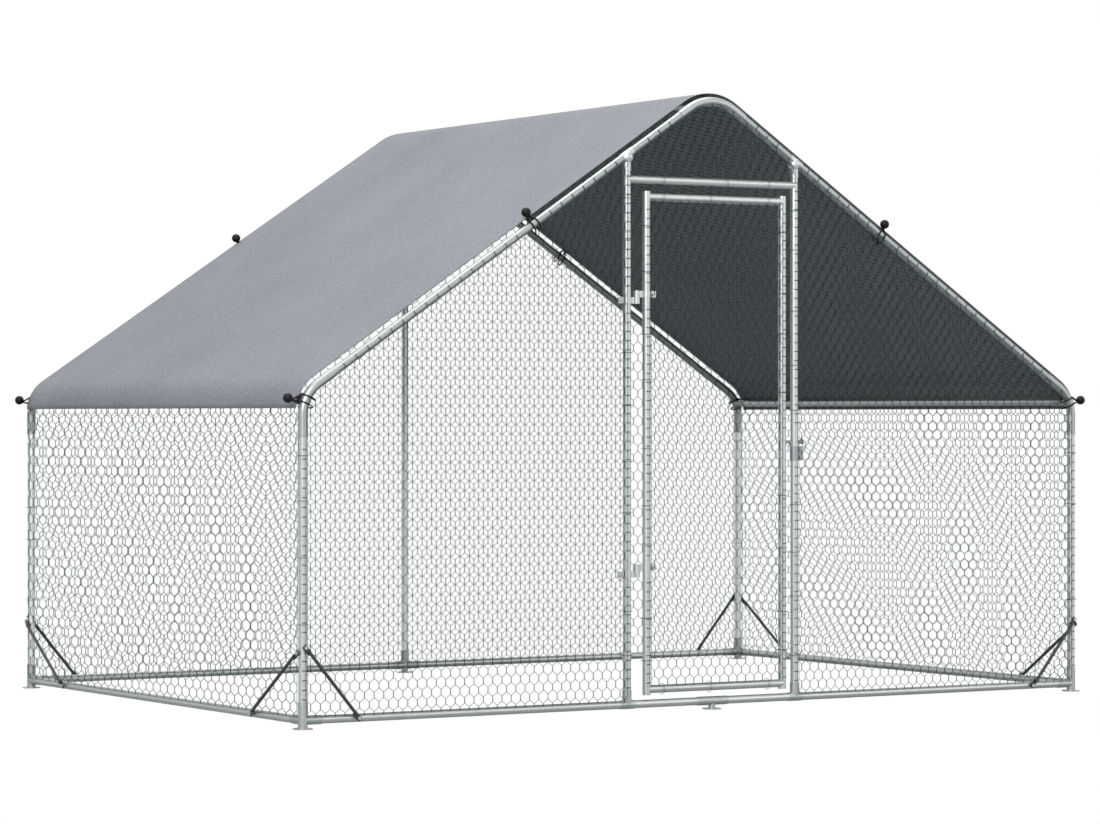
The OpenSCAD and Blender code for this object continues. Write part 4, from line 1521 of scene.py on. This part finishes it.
def ball(centre: np.ndarray, r: float, rings: int = 16, sides: int = 24) -> tuple[np.ndarray, list]:
    """Makes a ball.

    Args:
        centre: its middle.
        r: its radius.
        rings: how many rings of faces it has.
        sides: how many faces a ring has.

    Returns:
        The points and faces.
    """
    points, faces = [centre + np.array((0, 0, r))], []
    for i in range(1, rings):
        a = math.pi * i / rings
        for j in range(sides):
            b = 2 * math.pi * j / sides
            way = (math.sin(a) * math.cos(b), math.sin(a) * math.sin(b), math.cos(a))
            points.append(centre + r * np.array(way))
    points.append(centre - np.array((0, 0, r)))
    last = len(points) - 1
    for j in range(sides):
        k = (j + 1) % sides
        faces.append((0, 1 + j, 1 + k))
        faces.append((last, last - sides + k, last - sides + j))
        for i in range(rings - 2):
            a = 1 + i * sides
            faces.append((a + j, a + sides + j, a + sides + k, a + k))
    return np.array(points), faces


@dataclass
class BallBungees:
    """The elastic loops with balls that hold the cover down.

    Attributes:
        sizes: the frame's main lines.
        finishes: the materials.
        ball_r: radius of a ball.
        cord_r: radius of the cord.
        slope_run: place of the upper ones, along the rafter from the eave bend.
        half_loop: half the spacing of a loop's strands in front of the tube.
        half_eave: half their spacing behind an eave bend, past the eave rail's socket.
        slack: how far a loop hangs off the tube's inner side.
        eave_ball: how far the eave balls lie along the tube and farther out.
        ball_lift: height of a ball's middle above the tube's axis.
        ball_inset: how far a ball's middle lies inside the gable's axis.
        cord_ends: angles from the tube's top at which a strand meets the tube and leaves it.
        neck: half the strands' spacing at the ball, their place along Y there, and how far behind they end.
        neck_depth: how far down the ball they start, as a share of its radius.
        wind_steps: how many points a strand has round the tube.
        leg_steps: how many points it has between the tube and the ball.
        cord_sides: how many sides the cord has.
        sleeve: how much thicker an eave bend is than a tube.
    """

    sizes: RunSizes
    finishes: Finishes
    ball_r: float = 0.015
    cord_r: float = 0.0023
    slope_run: float = 0.901
    half_loop: float = 0.011
    half_eave: float = 0.0168
    slack: float = 0.014
    eave_ball: Point = (-0.018, 0.011)
    ball_lift: float = 0.0423
    ball_inset: float = 0.0055
    cord_ends: Point = (0.35, 0.55)
    neck: Place = (0.0015, -0.002, 0.003)
    neck_depth: float = 0.92
    wind_steps: int = 30
    leg_steps: int = 7
    cord_sides: int = 8
    sleeve: float = 0.0016

    def one(self, half_back: float, around: float, shift: Point) -> tuple[np.ndarray, list]:
        """One bungee on a tube along X, with +Z away from the roof.

        Args:
            half_back: half the spacing of its strands behind the tube.
            around: radius that the cord winds on.
            shift: how far its ball lies along the tube and farther out.

        Returns:
            The points and faces.
        """
        centre = np.array((shift[0], self.ball_inset, self.ball_lift + shift[1]))
        points, faces = ball(centre, self.ball_r)
        for sign in (-1, 1):
            turn = np.linspace(self.cord_ends[0], 2 * math.pi - self.cord_ends[1], self.wind_steps)
            half = self.half_loop + (half_back - self.half_loop) * np.maximum(-np.sin(turn), 0)
            drop = around * np.cos(turn) + self.slack * np.minimum(np.cos(turn), 0)
            ring = np.stack([sign * half, -around * np.sin(turn), drop], axis=1)
            neck = centre + np.array((sign * self.neck[0], self.neck[1], -self.ball_r * self.neck_depth))
            leg = np.linspace(neck, ring[0], self.leg_steps)[:-1]
            back = np.linspace(ring[-1], neck + np.array((0.0, self.neck[2], 0.0)), self.leg_steps)[1:]
            more, joined = sweep(np.concatenate([leg, ring, back]), self.cord_r, self.cord_sides)
            faces += [tuple(i + len(points) for i in f) for f in joined]
            points = np.concatenate([points, more])
        return points, faces

    def build(self) -> bpy.types.Object:
        """Builds all the bungees as one piece.

        Returns:
            The piece.
        """
        s = self.sizes
        eave = math.asin(s.eave_rise / s.eave_bend_r)
        slope_at = np.array((-s.rafter_x, -s.half_d, s.rafter_z))
        slope_at += self.slope_run * np.array((math.cos(s.pitch), 0.0, math.sin(s.pitch)))
        eave_at = np.array((-s.half_w + s.eave_bend_r, -s.half_d, s.bend_z))
        eave_at += s.eave_bend_r * np.array((-math.cos(eave), 0.0, math.sin(eave)))
        around = s.tube_r + self.cord_r
        places = [
            (slope_at, s.pitch, self.half_loop, around, (0.0, 0.0)),
            (eave_at, math.pi / 2 - eave, self.half_eave, around + self.sleeve, self.eave_ball),
        ]
        points, faces = np.zeros((0, 3)), []
        for at, tilt, *loop in places:
            shape, joined = self.one(*loop)
            along = (math.cos(tilt), 0.0, math.sin(tilt))
            out = (-math.sin(tilt), 0.0, math.cos(tilt))
            put = at + shape @ np.array((along, (0.0, 1.0, 0.0), out))
            for sx in (1, -1):
                for sy in (1, -1):
                    start = len(points)
                    points = np.concatenate([points, put * np.array((sx, sy, 1))])
                    way = 1 if sx * sy > 0 else -1
                    faces += [tuple(i + start for i in f[::way]) for f in joined]
        piece = new_piece("ball_bungee_set", points, faces, [self.finishes.by_slot[Slot.BUNGEE]])
        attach(piece, Body.FRAME.value)
        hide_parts("ball_bungees")
        log.info("the bungees have %d faces", len(faces))
        return piece


# Studio


def stand(name: str, data: bpy.types.ID, place: Place, way: Vector) -> bpy.types.Object:
    """Puts a lamp or a camera in the scene.

    Args:
        name: the object's name.
        data: the lamp or the camera.
        place: where it stands.
        way: the direction that it faces.

    Returns:
        The object.
    """
    holder = bpy.data.objects.new(name, data)
    holder.location = place
    holder.rotation_mode = "QUATERNION"
    holder.rotation_quaternion = way.to_track_quat("-Z", "Y")
    bpy.context.scene.collection.objects.link(holder)
    return holder


@dataclass(frozen=True)
class Lamp:
    """A square area lamp.

    Attributes:
        name: the lamp's name.
        place: where it hangs.
        size: length of its sides in metres.
        power: its power in watts.
        aim: the point that it faces.
    """

    name: str
    place: Place
    size: float
    power: float
    aim: Place = (0.0, 0.0, 0.9)

    def build(self) -> None:
        """Hangs the lamp."""
        lamp = bpy.data.lights.new(self.name, "AREA")
        lamp.size = self.size
        lamp.energy = self.power
        stand(self.name, lamp, self.place, Vector(self.aim) - Vector(self.place))


@dataclass
class Studio:
    """The floor, the light and the camera.

    Attributes:
        eye: where the camera stands.
        ahead: where it looks, a level direction.
        sensor: the width of its sensor in millimetres.
        lens: its focal length in millimetres.
        shift: how far its picture is moved up, as a share of the width.
        sight: how far it sees in metres.
        floor: the floor's finish.
        floor_half: half the floor's width in metres.
        sky: linear colour of the surroundings.
        sky_strength: their strength.
        lamps: the lamps.
        white_rays: the rays that meet a white world.
    """

    eye: Place = (-6.6267, -10.7471, 0.9292)
    ahead: Place = (0.52528, 0.85093, 0.0)
    sensor: float = 36.0
    lens: float = 121.797
    shift: float = 0.00325
    sight: float = 200.0
    floor: Finish = Finish("pale_floor", "#B4B6B8", 0.9)
    floor_half: float = 40.0
    sky: tuple[float, float, float, float] = (0.82, 0.84, 0.86, 1.0)
    sky_strength: float = 0.75
    lamps: tuple[Lamp, ...] = (
        Lamp("key", (-7.0, -8.0, 6.0), 5.0, 960.0),
        Lamp("fill", (6.5, -8.0, 3.5), 7.0, 160.0),
        Lamp("top", (0.0, 1.0, 9.0), 7.0, 550.0),
    )
    white_rays: tuple[str, ...] = ("Is Camera Ray", "Is Glossy Ray", "Is Transmission Ray")

    def show_white(self, tree: bpy.types.NodeTree, rays: tuple[str, ...], output: str) -> None:
        """Shows plain white to some rays, in place of what a tree shows to the others.

        Args:
            tree: the node tree.
            rays: the outputs of Light Path that name the rays.
            output: the name of the tree's output node.
        """
        path = add(tree, "ShaderNodeLightPath").outputs
        shown = path[rays[0]]
        for ray in rays[1:]:
            shown = add(tree, "ShaderNodeMath", {0: shown, 1: path[ray]}, operation="MAXIMUM").outputs[0]
        white = add(tree, "ShaderNodeEmission", {"Color": (1.0, 1.0, 1.0, 1.0), "Strength": 1.0})
        surface = tree.nodes[output].inputs["Surface"]
        other = surface.links[0].from_socket
        mixed = add(tree, "ShaderNodeMixShader", {0: shown, 1: other, 2: white.outputs[0]})
        tree.links.new(mixed.outputs[0], surface)

    def build(self) -> None:
        """Makes the floor, the lights and the camera."""
        self.build_floor()
        self.build_light()
        self.build_camera()

    def build_floor(self) -> None:
        """Makes a pale floor that looks white to the camera."""
        edge = self.floor_half
        corners = np.array([(x, y, 0.0) for x, y in box_outline(-edge, edge, -edge, edge)])
        material, tree, _ = self.floor.start()
        self.show_white(tree, self.white_rays[:1], "Material Output")
        new_piece("floor", corners, [(0, 1, 2, 3)], [material])

    def build_light(self) -> None:
        """Makes a plain pale surrounding and soft lamps."""
        world = bpy.data.worlds.new("studio")
        world.use_nodes = True
        bpy.context.scene.world = world
        tree = world.node_tree
        sky = tree.nodes["Background"]
        sky.inputs["Color"].default_value = self.sky
        sky.inputs["Strength"].default_value = self.sky_strength
        self.show_white(tree, self.white_rays, "World Output")
        for lamp in self.lamps:
            lamp.build()

    def build_camera(self) -> None:
        """Makes the camera that takes the photograph's view."""
        lens = bpy.data.cameras.new("camera")
        lens.sensor_width = self.sensor
        lens.lens = self.lens
        lens.shift_y = self.shift
        lens.clip_end = self.sight
        bpy.context.scene.camera = stand("camera", lens, self.eye, Vector(self.ahead))
        bpy.context.scene.view_settings.view_transform = "Standard"


def main() -> None:
    """Builds the whole scene."""
    logging.basicConfig(level=logging.INFO, format="%(message)s")
    finishes = Finishes()
    finishes.build()
    finishes.dress_frame()
    sizes = RunSizes.read()
    Netting(sizes, finishes).build()
    zones = Fittings(sizes).zones()
    TieWires(sizes, finishes, zones).build()
    WireEnds(sizes, finishes, zones).build()
    RoofCover(sizes, finishes).build()
    BallBungees(sizes, finishes).build()
    Studio().build()


if __name__ == "__main__":
    main()
